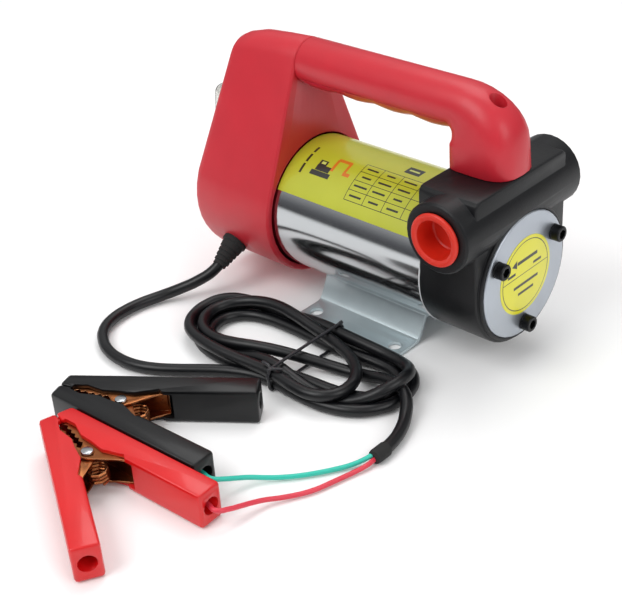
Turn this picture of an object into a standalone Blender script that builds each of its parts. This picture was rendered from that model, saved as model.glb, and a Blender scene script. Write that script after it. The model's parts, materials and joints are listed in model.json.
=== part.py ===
"""Fluid transfer pump: 12 V vane pump on a motor, with handle, foot, cable and battery clips.

X runs along the motor's axis with the pump head at +X. The outlet port faces -Y. The foot
bracket stands on z = 0, and the pump without its cable is centred on x = y = 0.
"""

import math

import bmesh
import bpy
from mathutils import Matrix, Vector

MM = 0.001
GAP = 0.3 * MM

# Motor
TUBE_RADIUS = 40.0 * MM
TUBE_WALL = 1.6 * MM
TUBE_SHOWN = 108.0 * MM
AXIS_HEIGHT = 54.0 * MM
SHAFT_RADIUS = 4.0 * MM
MAGNET_THICKNESS = 6.0 * MM
MAGNET_LENGTH = 60.0 * MM
MAGNET_HALF_ANGLE = math.radians(58)
AIR_GAP = 0.7 * MM
CORE_LENGTH = 54.0 * MM
CORE_SLOTS = 12
SLOT_WIDTH = 4.0 * MM
SLOT_DEPTH = 11.0 * MM
WINDING_OVERHANG = 10.0 * MM
COMMUTATOR_RADIUS = 12.0 * MM
COMMUTATOR_LENGTH = 14.0 * MM
BEARING_RADIUS = 11.0 * MM
BEARING_WIDTH = 7.0 * MM
BRUSH_WIDTH = 6.0 * MM
BRUSH_LENGTH = 12.0 * MM
BOLT_RADIUS = 2.0 * MM
BELL_THICKNESS = 5.0 * MM

# Pump head
HEAD_DEPTH = 38.5 * MM
HEAD_HALF_WIDTH = 39.8 * MM
HEAD_TOP = 57.2 * MM
HEAD_CORNER = 4.0 * MM
HEAD_EDGE = 1.2 * MM
RIM_PROUD = 2.0 * MM
SPIGOT_LENGTH = 6.0 * MM
CHAMBER_RADIUS = 21.0 * MM
CHAMBER_DEPTH = 18.0 * MM
CHAMBER_OFFSET = 2.3 * MM
VANE_COUNT = 5
VANE_THICKNESS = 3.0 * MM
VANE_HEIGHT = 8.0 * MM
PORT_HEIGHT = 37.4 * MM
PORT_SPAN = 53.2 * MM
PORT_RADIUS = 12.4 * MM
BOSS_RADIUS = 19.6 * MM
PORT_WALL = 8.0 * MM
PASSAGE_RADIUS = 5.0 * MM
PLUG_RIM_RADIUS = 14.7 * MM
PLUG_RIM = 2.2 * MM
PLUG_WALL = 2.0 * MM
PLUG_DEPTH = 14.0 * MM

# Cover plate and its screws
PLATE_RADIUS = 35.8 * MM
PLATE_THICKNESS = 4.0 * MM
PLATE_PROUD = 1.0 * MM
SEAL_RADIUS = 24.8 * MM
SEAL_CORD = 0.9 * MM
SCREW_CIRCLE = 29.4 * MM
SCREW_RADIUS = 2.5 * MM
SCREW_HEAD_RADIUS = 4.5 * MM
SCREW_PROUD = 5.8 * MM
SCREW_DEPTH = 14.0 * MM

# Rear housing
HOUSING_DEPTH = 64.5 * MM
HOUSING_WALL = 2.6 * MM
HOUSING_LIP = 4.8 * MM
TUBE_CLEARANCE = 1.2 * MM
HOUSING_SIDES = 40
BACK_ROUNDING = 8.0 * MM
BACK_SLOPE = 0.115
BACK_STEPS = 3
BACK_DROP = 1.0
TOP_DROP = 6.0 * MM

# Handle
HANDLE_HEIGHT = 87.0 * MM
HANDLE_RADIUS = 13.8 * MM
HANDLE_SPLIT = 5.6 * MM
HANDLE_SIDES = 24
FOOT_LENGTH = 37.3 * MM
FOOT_HALF_WIDTH = 16.6 * MM
GRIP_WAVES = 4
GRIP_WAVE = 1.7 * MM
SPIGOT_RADIUS = 7.0 * MM
SPIGOT_RAISE = 1.6 * MM
HANDLE_SCREW_RADIUS = 2.4 * MM
HANDLE_BORE_RADIUS = 4.6 * MM

# Foot bracket
BRACKET_LENGTH = 74.6 * MM
SHEET = 1.8 * MM
SADDLE_HALF_WIDTH = 14.2 * MM
FOLD_HALF_WIDTH = 22.6 * MM
BRACKET_HALF_WIDTH = 44.2 * MM
BRACKET_FRONT_GAP = 15.5 * MM
FOOT_HOLE_RADIUS = 3.9 * MM
FOOT_HOLE_INSET = 7.5 * MM

# Switch
SWITCH_HEIGHT = 43.0 * MM
BEZEL_HALF_LENGTH = 15.0 * MM
BEZEL_HALF_WIDTH = 11.0 * MM
BEZEL_CORNER = 4.0 * MM
BEZEL_PROUD = 2.0 * MM
ROCKER_RADIUS = 10.0 * MM
ROCKER_HALF_WIDTH = 6.6 * MM
ROCKER_TILT = math.radians(8)
BOOT_WALL = 1.0 * MM
BOOT_PROUD = 12.5 * MM
BOOT_BEHIND = 10.7 * MM

# Cable
CABLE_DIAMETER = 6.8 * MM
WIRE_DIAMETER = 2.6 * MM
GROMMET_ANGLE = math.radians(33)
GROMMET_BACK = 37.0 * MM
GROMMET_LENGTH = 10.0 * MM
HANK_LENGTH = 150.0 * MM
HANK_WIDTH = 52.0 * MM
HANK_HEIGHT = 17.0 * MM
HANK_CENTRE = Vector((10.3, -78.5, 0)) * MM
TIE_WIDTH = 2.6 * MM
TIE_THICKNESS = 1.0 * MM
TIE_OFFSET = 9.0 * MM

# Battery clips
CLIP_JAW = 37.0 * MM
CLIP_HANDLE = 62.8 * MM
CLIP_TIP_WIDTH = 9.5 * MM
CLIP_WIDTH = 14.4 * MM
CLIP_BORE_RADIUS = 4.8 * MM
CLIP_HEIGHT = 20.0 * MM
CLIP_ANGLE = math.radians(16.5)
CLIP_WALL = 2.4 * MM
CLIP_SHEET = 1.0 * MM
RIVET_RADIUS = 2.2 * MM
SPRING_RADIUS = 5.2 * MM
SPRING_WIRE = 0.8 * MM
SPRING_TURNS = 3.5

# Which half has the wire, where the rivet stands in millimetres and how the clip is turned
RED_CLIP = (1, (1.6, -217.9), -13.4)
BLACK_CLIP = (-1, (-18.8, -179.0), 19.8)

# Stations along X, from the overall length
LENGTH = (BOOT_BEHIND + HOUSING_DEPTH + TUBE_SHOWN + HEAD_DEPTH
          + PLATE_PROUD + SCREW_PROUD)
FRONT_X = LENGTH / 2
PLATE_FRONT_X = FRONT_X - SCREW_PROUD
HEAD_FRONT_X = PLATE_FRONT_X - PLATE_PROUD
HEAD_BACK_X = HEAD_FRONT_X - HEAD_DEPTH
LIP_X = HEAD_BACK_X - TUBE_SHOWN
BACK_X = LIP_X - HOUSING_DEPTH
PORT_X = HEAD_BACK_X + BOSS_RADIUS + 0.3 * MM
FACE_X = HEAD_FRONT_X - RIM_PROUD
TUBE_BACK_X = LIP_X - 16.0 * MM
TUBE_INSIDE = TUBE_RADIUS - TUBE_WALL
CORE_RADIUS = TUBE_INSIDE - GAP - MAGNET_THICKNESS - AIR_GAP
MOTOR_MID_X = (TUBE_BACK_X + HEAD_BACK_X) / 2 + 8.0 * MM
CHAMBER_BACK_X = HEAD_FRONT_X - PLATE_THICKNESS + PLATE_PROUD - CHAMBER_DEPTH
ROTOR_RADIUS = CHAMBER_RADIUS - CHAMBER_OFFSET - 0.4 * MM
SEAL_SPACE = 9.0 * MM
BOLT_CIRCLE = TUBE_INSIDE - BOLT_RADIUS - 1.0 * MM
HOUSING_RADIUS = TUBE_RADIUS + HOUSING_LIP
ROUND_X = HEAD_BACK_X - BRACKET_FRONT_GAP


def clear_scene():
    """Remove whatever the startup file holds."""
    for item in list(bpy.data.objects):
        bpy.data.objects.remove(item, do_unlink=True)


def material(name, colour, roughness, metallic=0.0, alpha=1.0):
    """A Principled material, made once for each name."""
    found = bpy.data.materials.get(name)
    if found:
        return found
    made = bpy.data.materials.new(name)
    made.use_nodes = True
    shader = made.node_tree.nodes["Principled BSDF"]
    shader.inputs["Base Color"].default_value = (*colour, 1.0)
    shader.inputs["Roughness"].default_value = roughness
    shader.inputs["Metallic"].default_value = metallic
    shader.inputs["Alpha"].default_value = alpha
    made.diffuse_color = (*colour, alpha)
    return made


def red_plastic():
    return material("red_abs", (0.62, 0.05, 0.07), 0.35)


def black_plastic():
    return material("black_nylon", (0.02, 0.02, 0.022), 0.5)


def black_coat():
    return material("black_powder_coat", (0.03, 0.032, 0.038), 0.45)


def aluminium():
    return material("machined_aluminium", (0.78, 0.8, 0.82), 0.35, 1.0)


def steel():
    return material("bright_steel", (0.7, 0.7, 0.7), 0.25, 1.0)


def black_steel():
    return material("black_oxide_steel", (0.03, 0.03, 0.03), 0.35, 1.0)


def zinc():
    return material("zinc_plate", (0.62, 0.67, 0.7), 0.3, 1.0)


def copper():
    return material("copper", (0.72, 0.36, 0.22), 0.3, 1.0)


def ferrite():
    return material("ferrite", (0.08, 0.08, 0.085), 0.8)


def rubber():
    return material("black_rubber", (0.015, 0.015, 0.015), 0.6)


# ---- mesh helpers -------------------------------------------------------------------------


def along(axis, at=(0, 0, 0)):
    """A matrix that lays local Z along axis and moves the origin to at."""
    turn = Vector((0, 0, 1)).rotation_difference(Vector(axis)).to_matrix().to_4x4()
    return Matrix.Translation(Vector(at)) @ turn


def add_object(name, bm, finish, place=None, parent=None, smooth=True):
    """Turn a bmesh into a named object, with its origin at place."""
    bmesh.ops.recalc_face_normals(bm, faces=bm.faces)
    mesh = bpy.data.meshes.new(name)
    bm.to_mesh(mesh)
    bm.free()
    if smooth:
        mesh.shade_smooth()
        mesh.set_sharp_from_angle(angle=math.radians(35))
    made = bpy.data.objects.new(name, mesh)
    bpy.context.scene.collection.objects.link(made)
    if finish:
        mesh.materials.append(finish)
    if parent:
        made.parent = parent
    if place:
        made.matrix_local = place
    return made


def loft(rings, ring_of_rings=False):
    """Closed solid through rings of equal length: capped, or joined end to start."""
    bm = bmesh.new()
    made = [[bm.verts.new(point) for point in ring] for ring in rings]
    count = len(made[0])
    pairs = list(zip(made, made[1:]))
    if ring_of_rings:
        pairs.append((made[-1], made[0]))
    for a, b in pairs:
        for i in range(count):
            j = (i + 1) % count
            bm.faces.new((a[i], a[j], b[j], b[i]))
    if not ring_of_rings:
        bm.faces.new(made[0])
        bm.faces.new(list(reversed(made[-1])))
    return bm


def turned(profile, sides=32):
    """Solid of revolution about Z from (z, radius) points. Ends on the axis close it."""
    bm = bmesh.new()
    columns = []
    for z, radius in profile:
        if radius == 0:
            columns.append([bm.verts.new((0, 0, z))] * sides)
            continue
        columns.append([
            bm.verts.new((
                radius * math.cos(2 * math.pi * i / sides),
                radius * math.sin(2 * math.pi * i / sides),
                z,
            ))
            for i in range(sides)
        ])
    pairs = list(zip(columns, columns[1:]))
    if profile[0][1] > 0:
        pairs.append((columns[-1], columns[0]))
    for a, b in pairs:
        for i in range(sides):
            j = (i + 1) % sides
            corners = list(dict.fromkeys((a[i], a[j], b[j], b[i])))
            if len(corners) > 2:
                bm.faces.new(corners)
    return bm


def prism(outline, low, high):
    """Outline of (x, y) points extruded along Z from low to high."""
    return loft([[(x, y, low) for x, y in outline], [(x, y, high) for x, y in outline]])


def box(low, high):
    """Axis-aligned block between two corners."""
    outline = [(low[0], low[1]), (high[0], low[1]), (high[0], high[1]), (low[0], high[1])]
    return prism(outline, low[2], high[2])


def moved(bm, matrix):
    """The same bmesh after a transform."""
    bmesh.ops.transform(bm, matrix=matrix, verts=bm.verts)
    return bm


def side_prism(outline, low, high):
    """Outline of (y, z) points extruded along X from low to high."""
    return loft([[(low, y, z) for y, z in outline], [(high, y, z) for y, z in outline]])


def arc(centre, radius, start, end, steps):
    """Points on an arc, angles in degrees, both ends included."""
    return [
        (
            centre[0] + radius * math.cos(math.radians(start + (end - start) * i / steps)),
            centre[1] + radius * math.sin(math.radians(start + (end - start) * i / steps)),
        )
        for i in range(steps + 1)
    ]


def boolean(target, bm, operation="DIFFERENCE", place=None, parent=None):
    """Cut a helper solid from target, or join it on, with a live modifier."""
    count = sum(m.type == "BOOLEAN" for m in target.modifiers)
    helper = add_object(f"{target.name}_{operation.lower()}_{count + 1}", bm, None, place, parent)
    helper.hide_render = True
    helper.display_type = "WIRE"
    modifier = target.modifiers.new(f"{operation.title()} {count + 1}", "BOOLEAN")
    modifier.operation = operation
    modifier.object = helper
    modifier.solver = "EXACT"
    modifier.use_hole_tolerant = True
    return target


def rounded(target, width, segments=2, angle=40):
    """A bevel on the sharp edges of target."""
    modifier = target.modifiers.new("Round edges", "BEVEL")
    modifier.width = width
    modifier.segments = segments
    modifier.limit_method = "ANGLE"
    modifier.angle_limit = math.radians(angle)
    modifier.harden_normals = False
    return target


def axis_point(x, y=0.0, z=0.0):
    """A point given from the motor's axis."""
    return Vector((x, y, AXIS_HEIGHT + z))


def on_axis(x):
    """A matrix that lays local Z along the motor's axis, towards the head."""
    return along((1, 0, 0), axis_point(x))


def smooth_path(route, spacing):
    """Points at even spacing on a Catmull-Rom curve through the route's points."""
    points = [Vector(p) for p in route]
    ends = [2 * points[0] - points[1], *points, 2 * points[-1] - points[-2]]
    fine = []
    for a, b, c, d in zip(ends, ends[1:], ends[2:], ends[3:]):
        for step in range(24):
            t = step / 24
            fine.append(0.5 * (2 * b + (c - a) * t + (2 * a - 5 * b + 4 * c - d) * t * t
                               + (3 * b - a - 3 * c + d) * t * t * t))
    fine.append(points[-1])
    total = sum((b - a).length for a, b in zip(fine, fine[1:]))
    count = max(2, round(total / spacing))
    path, walked, target = [fine[0]], 0.0, total / count
    for a, b in zip(fine, fine[1:]):
        step = (b - a).length
        while step > 0 and walked + step >= target * len(path) and len(path) < count:
            path.append(a.lerp(b, (target * len(path) - walked) / step))
        walked += step
    path.append(fine[-1])
    return path


def tube(name, path, diameter, finish, resolution=2):
    """A round cord along path, as a curve with filled caps."""
    curve = bpy.data.curves.new(name, "CURVE")
    curve.dimensions = "3D"
    curve.bevel_depth = diameter / 2
    curve.bevel_resolution = resolution
    curve.use_fill_caps = True
    spline = curve.splines.new("POLY")
    spline.points.add(len(path) - 1)
    for point, place in zip(spline.points, path):
        point.co = (*place, 1)
    curve.materials.append(finish)
    made = bpy.data.objects.new(name, curve)
    bpy.context.scene.collection.objects.link(made)
    return made


# ---- pump head ----------------------------------------------------------------------------


def head_outline(inset=0.0):
    """The casting seen from the front: flat top, straight sides and a round bottom."""
    w, top, r = HEAD_HALF_WIDTH - inset, HEAD_TOP - inset, HEAD_CORNER - inset
    outline = arc((0, 0), w, 180, 360, 22)
    outline += arc((w - r, top - r), r, 0, 90, 3)
    outline += arc((-w + r, top - r), r, 90, 180, 3)
    return [(y, z + AXIS_HEIGHT) for y, z in outline]


def cover_screw_places():
    """Y and Z of the three cover screws, from the motor's axis."""
    return arc((0, 0), SCREW_CIRCLE, 30, 270, 2)


def pump_head():
    """The casting, with its two port bosses, vane chamber and bearing pocket."""
    edge = HEAD_EDGE
    stations = [(HEAD_BACK_X, edge / 2), (HEAD_BACK_X + edge / 2, 0.0), (FACE_X - edge, 0.0),
                (FACE_X - 0.3 * edge, 0.3 * edge), (FACE_X, edge)]
    head = add_object("pump_head", loft([
        [(x, y, z) for y, z in head_outline(inset)] for x, inset in stations
    ]), black_coat())
    boss_face = PORT_SPAN - PLUG_RIM - GAP
    boss = turned([
        (-boss_face, 0), (-boss_face, BOSS_RADIUS - 1 * MM), (-boss_face + 1 * MM, BOSS_RADIUS),
        (boss_face - 1 * MM, BOSS_RADIUS), (boss_face, BOSS_RADIUS - 1 * MM), (boss_face, 0),
    ], 28)
    boolean(head, boss, "UNION", along((0, 1, 0), axis_point(PORT_X, 0, PORT_HEIGHT)))
    rim_radius = PLATE_RADIUS + 2.0 * MM
    rim = turned([
        (FACE_X - 2 * MM, 0), (FACE_X - 2 * MM, rim_radius), (HEAD_FRONT_X - 0.6 * MM, rim_radius),
        (HEAD_FRONT_X, rim_radius - 0.6 * MM), (HEAD_FRONT_X, 0),
    ], 40)
    boolean(head, rim, "UNION", on_axis(0))
    spigot = turned([
        (HEAD_BACK_X - SPIGOT_LENGTH, 0), (HEAD_BACK_X - SPIGOT_LENGTH, TUBE_INSIDE - GAP),
        (HEAD_BACK_X + 2 * MM, TUBE_INSIDE - GAP), (HEAD_BACK_X + 2 * MM, 0),
    ], 40)
    boolean(head, spigot, "UNION", on_axis(0))
    seat = PLATE_RADIUS + 0.4 * MM
    seat_x = HEAD_FRONT_X - PLATE_THICKNESS + PLATE_PROUD - GAP
    boolean(head, turned([
        (seat_x, 0), (seat_x, seat), (FRONT_X, seat), (FRONT_X, 0),
    ], 40), place=on_axis(0))
    chamber_back = CHAMBER_BACK_X - GAP
    boolean(head, turned([
        (chamber_back, 0), (chamber_back, CHAMBER_RADIUS), (FRONT_X, CHAMBER_RADIUS), (FRONT_X, 0),
    ], 30), place=along((1, 0, 0), axis_point(0, 0, CHAMBER_OFFSET)))
    groove = SEAL_CORD + 0.2 * MM
    groove_floor = seat_x - 2 * SEAL_CORD - GAP
    boolean(head, turned([
        (groove_floor, SEAL_RADIUS - groove), (groove_floor, SEAL_RADIUS + groove),
        (FRONT_X, SEAL_RADIUS + groove), (FRONT_X, SEAL_RADIUS - groove),
    ], 30), place=on_axis(0))
    pocket_front = HEAD_BACK_X - SPIGOT_LENGTH + BEARING_WIDTH + 2 * GAP
    seal_front = pocket_front + SEAL_SPACE
    boolean(head, turned([
        (0, 0), (0, BEARING_RADIUS + GAP), (pocket_front, BEARING_RADIUS + GAP),
        (pocket_front, SHAFT_RADIUS + 4.3 * MM), (seal_front, SHAFT_RADIUS + 4.3 * MM),
        (seal_front, SHAFT_RADIUS + GAP), (FRONT_X, SHAFT_RADIUS + GAP), (FRONT_X, 0),
    ], 18), place=on_axis(0))
    for side in (-1, 1):
        port = turned([
            (PORT_WALL, 0), (PORT_WALL, PORT_RADIUS), (PORT_SPAN, PORT_RADIUS), (PORT_SPAN, 0),
        ], 24)
        boolean(head, port, place=along((0, side, 0), axis_point(PORT_X, 0, PORT_HEIGHT)))
        passage = turned([
            (CHAMBER_RADIUS * 0.4, 0), (CHAMBER_RADIUS * 0.4, PASSAGE_RADIUS),
            (PORT_HEIGHT - 5 * MM, PASSAGE_RADIUS), (PORT_HEIGHT - 5 * MM, 0),
        ], 12)
        place = along((0, 0, 1), axis_point(CHAMBER_BACK_X + CHAMBER_DEPTH / 2,
                                            side * (PORT_WALL + PASSAGE_RADIUS + 1 * MM)))
        boolean(head, passage, place=place)
        boolean(head, turned([
            (HEAD_BACK_X - SPIGOT_LENGTH - 1 * MM, 0),
            (HEAD_BACK_X - SPIGOT_LENGTH - 1 * MM, BOLT_RADIUS + GAP),
            (HEAD_BACK_X + 9 * MM, BOLT_RADIUS + GAP), (HEAD_BACK_X + 9 * MM, 0),
        ], 10), place=along((1, 0, 0), axis_point(0, side * BOLT_CIRCLE)))
    for y, z in cover_screw_places():
        hole = turned([
            (seat_x - SCREW_DEPTH, 0), (seat_x - SCREW_DEPTH, SCREW_RADIUS + GAP),
            (FRONT_X, SCREW_RADIUS + GAP), (FRONT_X, 0),
        ], 12)
        boolean(head, hole, place=along((1, 0, 0), axis_point(0, y, z)))
    boolean(head, turned([
        (HEAD_TOP - 12 * MM, 0), (HEAD_TOP - 12 * MM, HANDLE_SCREW_RADIUS + GAP),
        (HEAD_TOP + 2 * MM, HANDLE_SCREW_RADIUS + GAP), (HEAD_TOP + 2 * MM, 0),
    ], 12), place=along((0, 0, 1), axis_point(HANDLE_SCREW_X)))
    # The passages cross the chamber and the ports, which the exact solver leaves with slivers.
    for modifier in head.modifiers:
        modifier.solver = "MANIFOLD"


def cover():
    """The round end plate, its seal and its three cap screws."""
    back = HEAD_FRONT_X + PLATE_PROUD - PLATE_THICKNESS
    front = HEAD_FRONT_X + PLATE_PROUD
    plate = add_object("cover_plate", turned([
        (back, 0), (back, PLATE_RADIUS), (front - 0.6 * MM, PLATE_RADIUS),
        (front, PLATE_RADIUS - 0.6 * MM), (front, 0),
    ], 40), aluminium(), on_axis(0))
    head_radius = SCREW_HEAD_RADIUS
    for index, (y, z) in enumerate(cover_screw_places(), 1):
        place = along((1, 0, 0), axis_point(0, y, z))
        boolean(plate, turned([
            (back - 1 * MM, 0), (back - 1 * MM, SCREW_RADIUS + GAP),
            (front + 1 * MM, SCREW_RADIUS + GAP), (front + 1 * MM, 0),
        ], 12), place=place)
        screw = add_object(f"cover_screw_{index}", turned([
            (back - SCREW_DEPTH + 1 * MM, 0), (back - SCREW_DEPTH + 1 * MM, SCREW_RADIUS),
            (front + GAP, SCREW_RADIUS), (front + GAP, head_radius + 0.2 * MM),
            (front + 2.2 * MM, head_radius + 0.2 * MM), (front + 2.2 * MM, head_radius),
            (FRONT_X - 0.5 * MM, head_radius), (FRONT_X, head_radius - 0.5 * MM), (FRONT_X, 0),
        ], 14), black_steel(), place)
        boolean(screw, turned([
            (FRONT_X - 3.2 * MM, 0), (FRONT_X - 3.2 * MM, 2.6 * MM),
            (FRONT_X + 1 * MM, 2.6 * MM), (FRONT_X + 1 * MM, 0),
        ], 6), place=place)
    seal = [(back - GAP - SEAL_CORD + SEAL_CORD * math.cos(math.radians(a)),
             SEAL_RADIUS + SEAL_CORD * math.sin(math.radians(a))) for a in range(0, 360, 72)]
    add_object("cover_o_ring", turned(seal, 28), rubber(), on_axis(0))


def port_plugs():
    """The two push-in cups that keep dirt out of the ports, each on its port's axis."""
    for name, side in (("outlet_plug", -1), ("inlet_plug", 1)):
        outer = PORT_RADIUS - GAP
        inner = outer - PLUG_WALL
        face = PORT_SPAN
        profile = [
            (face - PLUG_RIM, outer), (face - PLUG_RIM, PLUG_RIM_RADIUS),
            (face - 0.5 * MM, PLUG_RIM_RADIUS), (face, PLUG_RIM_RADIUS - 0.5 * MM),
            (face, inner + 0.5 * MM), (face - 0.5 * MM, inner),
            (face - PLUG_DEPTH, inner), (face - PLUG_DEPTH, 0),
            (face - PLUG_DEPTH - PLUG_WALL, 0), (face - PLUG_DEPTH - PLUG_WALL, outer),
        ]
        # The cup's floor crosses the axis, so the profile starts and ends there.
        profile = profile[8:] + profile[:8]
        add_object(
            name, turned(profile, 24), material("orange_polythene", (0.75, 0.12, 0.05), 0.4),
            along((0, side, 0), axis_point(PORT_X, 0, PORT_HEIGHT)),
        )


def vane_pump(spin):
    """The slotted rotor and its vanes, on the motor's shaft."""
    back, front = CHAMBER_BACK_X + GAP, CHAMBER_BACK_X + CHAMBER_DEPTH - GAP
    rotor = add_object("pump_rotor", turned([
        (back, SHAFT_RADIUS + GAP), (back, ROTOR_RADIUS), (front, ROTOR_RADIUS),
        (front, SHAFT_RADIUS + GAP),
    ], 30), steel(), Matrix.Rotation(math.pi / 2, 4, "Y"), spin)
    half = VANE_THICKNESS / 2
    root = ROTOR_RADIUS - 0.4 * MM - VANE_HEIGHT
    for index in range(VANE_COUNT):
        turn = Matrix.Rotation(2 * math.pi * index / VANE_COUNT, 4, "X")
        slot = box((back - 1 * MM, -half - 0.2 * MM, root - 0.5 * MM),
                   (front + 1 * MM, half + 0.2 * MM, ROTOR_RADIUS + 2 * MM))
        boolean(rotor, slot, place=turn, parent=spin)
        vane = box((back, -half, root), (front, half, root + VANE_HEIGHT))
        add_object(f"vane_{index + 1}", vane, black_plastic(), turn, spin, smooth=False)


# ---- motor --------------------------------------------------------------------------------


def motor_shell():
    """The bright tube with its two magnets, and the end bell at the back."""
    front = HEAD_BACK_X - GAP
    add_object("motor_tube", turned([
        (TUBE_BACK_X, TUBE_INSIDE), (TUBE_BACK_X, TUBE_RADIUS), (front, TUBE_RADIUS),
        (front, TUBE_INSIDE),
    ], 40), steel(), on_axis(0))
    outer = TUBE_INSIDE - GAP
    inner = outer - MAGNET_THICKNESS
    half = math.degrees(MAGNET_HALF_ANGLE)
    for index, middle in enumerate((90, 270), 1):
        outline = arc((0, 0), outer, middle - half, middle + half, 12)
        outline += arc((0, 0), inner, middle + half, middle - half, 12)
        low = MOTOR_MID_X - MAGNET_LENGTH / 2
        magnet = side_prism(outline, low, low + MAGNET_LENGTH)
        add_object(f"magnet_{index}", magnet, ferrite(), Matrix.Translation(axis_point(0)))
    bell_front = TUBE_BACK_X - GAP
    bell_back = bell_front - BELL_THICKNESS
    spigot = bell_front + 5 * MM
    bell = add_object("rear_end_bell", turned([
        (bell_back, 0), (bell_back, TUBE_RADIUS - 0.5 * MM), (bell_front, TUBE_RADIUS - 0.5 * MM),
        (bell_front, TUBE_INSIDE - GAP), (spigot, TUBE_INSIDE - GAP), (spigot, 0),
    ], 40), black_plastic(), on_axis(0))
    post_back = BACK_X + HOUSING_WALL + GAP
    for y, z in housing_screw_places():
        boolean(bell, turned([
            (post_back, 0), (post_back, 4.4 * MM), (bell_front - 1 * MM, 4.4 * MM),
            (bell_front - 1 * MM, 0),
        ], 12), "UNION", along((1, 0, 0), axis_point(0, y, z)))
    for y, z in housing_screw_places():
        boolean(bell, turned([
            (post_back - 1 * MM, 0), (post_back - 1 * MM, 1.8 * MM),
            (post_back + 14 * MM, 1.8 * MM), (post_back + 14 * MM, 0),
        ], 8), place=along((1, 0, 0), axis_point(0, y, z)))
    pocket = spigot - BEARING_WIDTH - 2 * GAP
    boolean(bell, turned([
        (bell_back - 1 * MM, 0), (bell_back - 1 * MM, SHAFT_RADIUS + 1 * MM),
        (pocket, SHAFT_RADIUS + 1 * MM), (pocket, BEARING_RADIUS + GAP),
        (spigot + 1 * MM, BEARING_RADIUS + GAP), (spigot + 1 * MM, 0),
    ], 18), place=on_axis(0))
    for index, side in enumerate((-1, 1), 1):
        place = along((1, 0, 0), axis_point(0, side * BOLT_CIRCLE))
        boolean(bell, turned([
            (bell_back - 1 * MM, 0), (bell_back - 1 * MM, BOLT_RADIUS + GAP),
            (spigot + 1 * MM, BOLT_RADIUS + GAP), (spigot + 1 * MM, 0),
        ], 10), place=place)
        add_object(f"tie_bolt_{index}", turned([
            (bell_back - GAP - 3 * MM, 0), (bell_back - GAP - 3 * MM, 2 * BOLT_RADIUS),
            (bell_back - GAP, 2 * BOLT_RADIUS), (bell_back - GAP, BOLT_RADIUS),
            (HEAD_BACK_X + 8 * MM, BOLT_RADIUS), (HEAD_BACK_X + 8 * MM, 0),
        ], 10), steel(), place)
    for name, low in (("rear_bearing", pocket + GAP),
                      ("front_bearing", HEAD_BACK_X - SPIGOT_LENGTH + GAP)):
        high = low + BEARING_WIDTH
        inner, outer = SHAFT_RADIUS + GAP, BEARING_RADIUS
        add_object(name, turned([
            (low, inner), (low, outer), (high, outer), (high, inner),
        ], 18), steel(), on_axis(0))
    seal_back = HEAD_BACK_X - SPIGOT_LENGTH + BEARING_WIDTH + 3 * GAP
    add_object("shaft_seal", turned([
        (seal_back, SHAFT_RADIUS + GAP), (seal_back, SHAFT_RADIUS + 4 * MM),
        (seal_back + 7 * MM, SHAFT_RADIUS + 4 * MM), (seal_back + 7 * MM, SHAFT_RADIUS + 2 * MM),
        (seal_back + 3 * MM, SHAFT_RADIUS + 1.5 * MM), (seal_back + 3 * MM, SHAFT_RADIUS + GAP),
    ], 16), rubber(), on_axis(0))


def brush_gear():
    """The brush plate on the end bell, and the two brushes on the commutator."""
    back = TUBE_BACK_X - GAP + 5 * MM + GAP
    ring_front = back + 2.5 * MM
    ring_inner, ring_outer = COMMUTATOR_RADIUS + 2 * MM, TUBE_INSIDE - 8 * MM
    ring = add_object("brush_plate", turned([
        (back, ring_inner), (back, ring_outer), (ring_front, ring_outer), (ring_front, ring_inner),
    ], 28), material("brown_phenolic", (0.2, 0.09, 0.04), 0.6), on_axis(0))
    middle = ring_front + 2.5 * MM + BRUSH_WIDTH / 2
    half = BRUSH_WIDTH / 2
    wall = 1.5 * MM
    for index, side in enumerate((-1, 1), 1):
        near, far = COMMUTATOR_RADIUS + GAP, COMMUTATOR_RADIUS + GAP + BRUSH_LENGTH
        turn = Matrix.Translation(axis_point(middle)) @ Matrix.Rotation(
            math.pi / 2 * side, 4, "X")
        holder = box((-middle + ring_front - 1 * MM, -half - wall - GAP, near + 3 * MM),
                     (half + GAP + wall, half + wall + GAP, ring_outer - 2 * MM))
        boolean(ring, holder, "UNION", turn)
        channel = box((-half - GAP, -half - GAP, near - 1 * MM),
                      (half + GAP, half + GAP, ring_outer))
        boolean(ring, channel, place=turn)
        brush = box((-half, -half, near), (half, half, far))
        carbon = material("carbon", (0.04, 0.04, 0.045), 0.7)
        add_object(f"brush_{index}", brush, carbon, turn, smooth=False)


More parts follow.
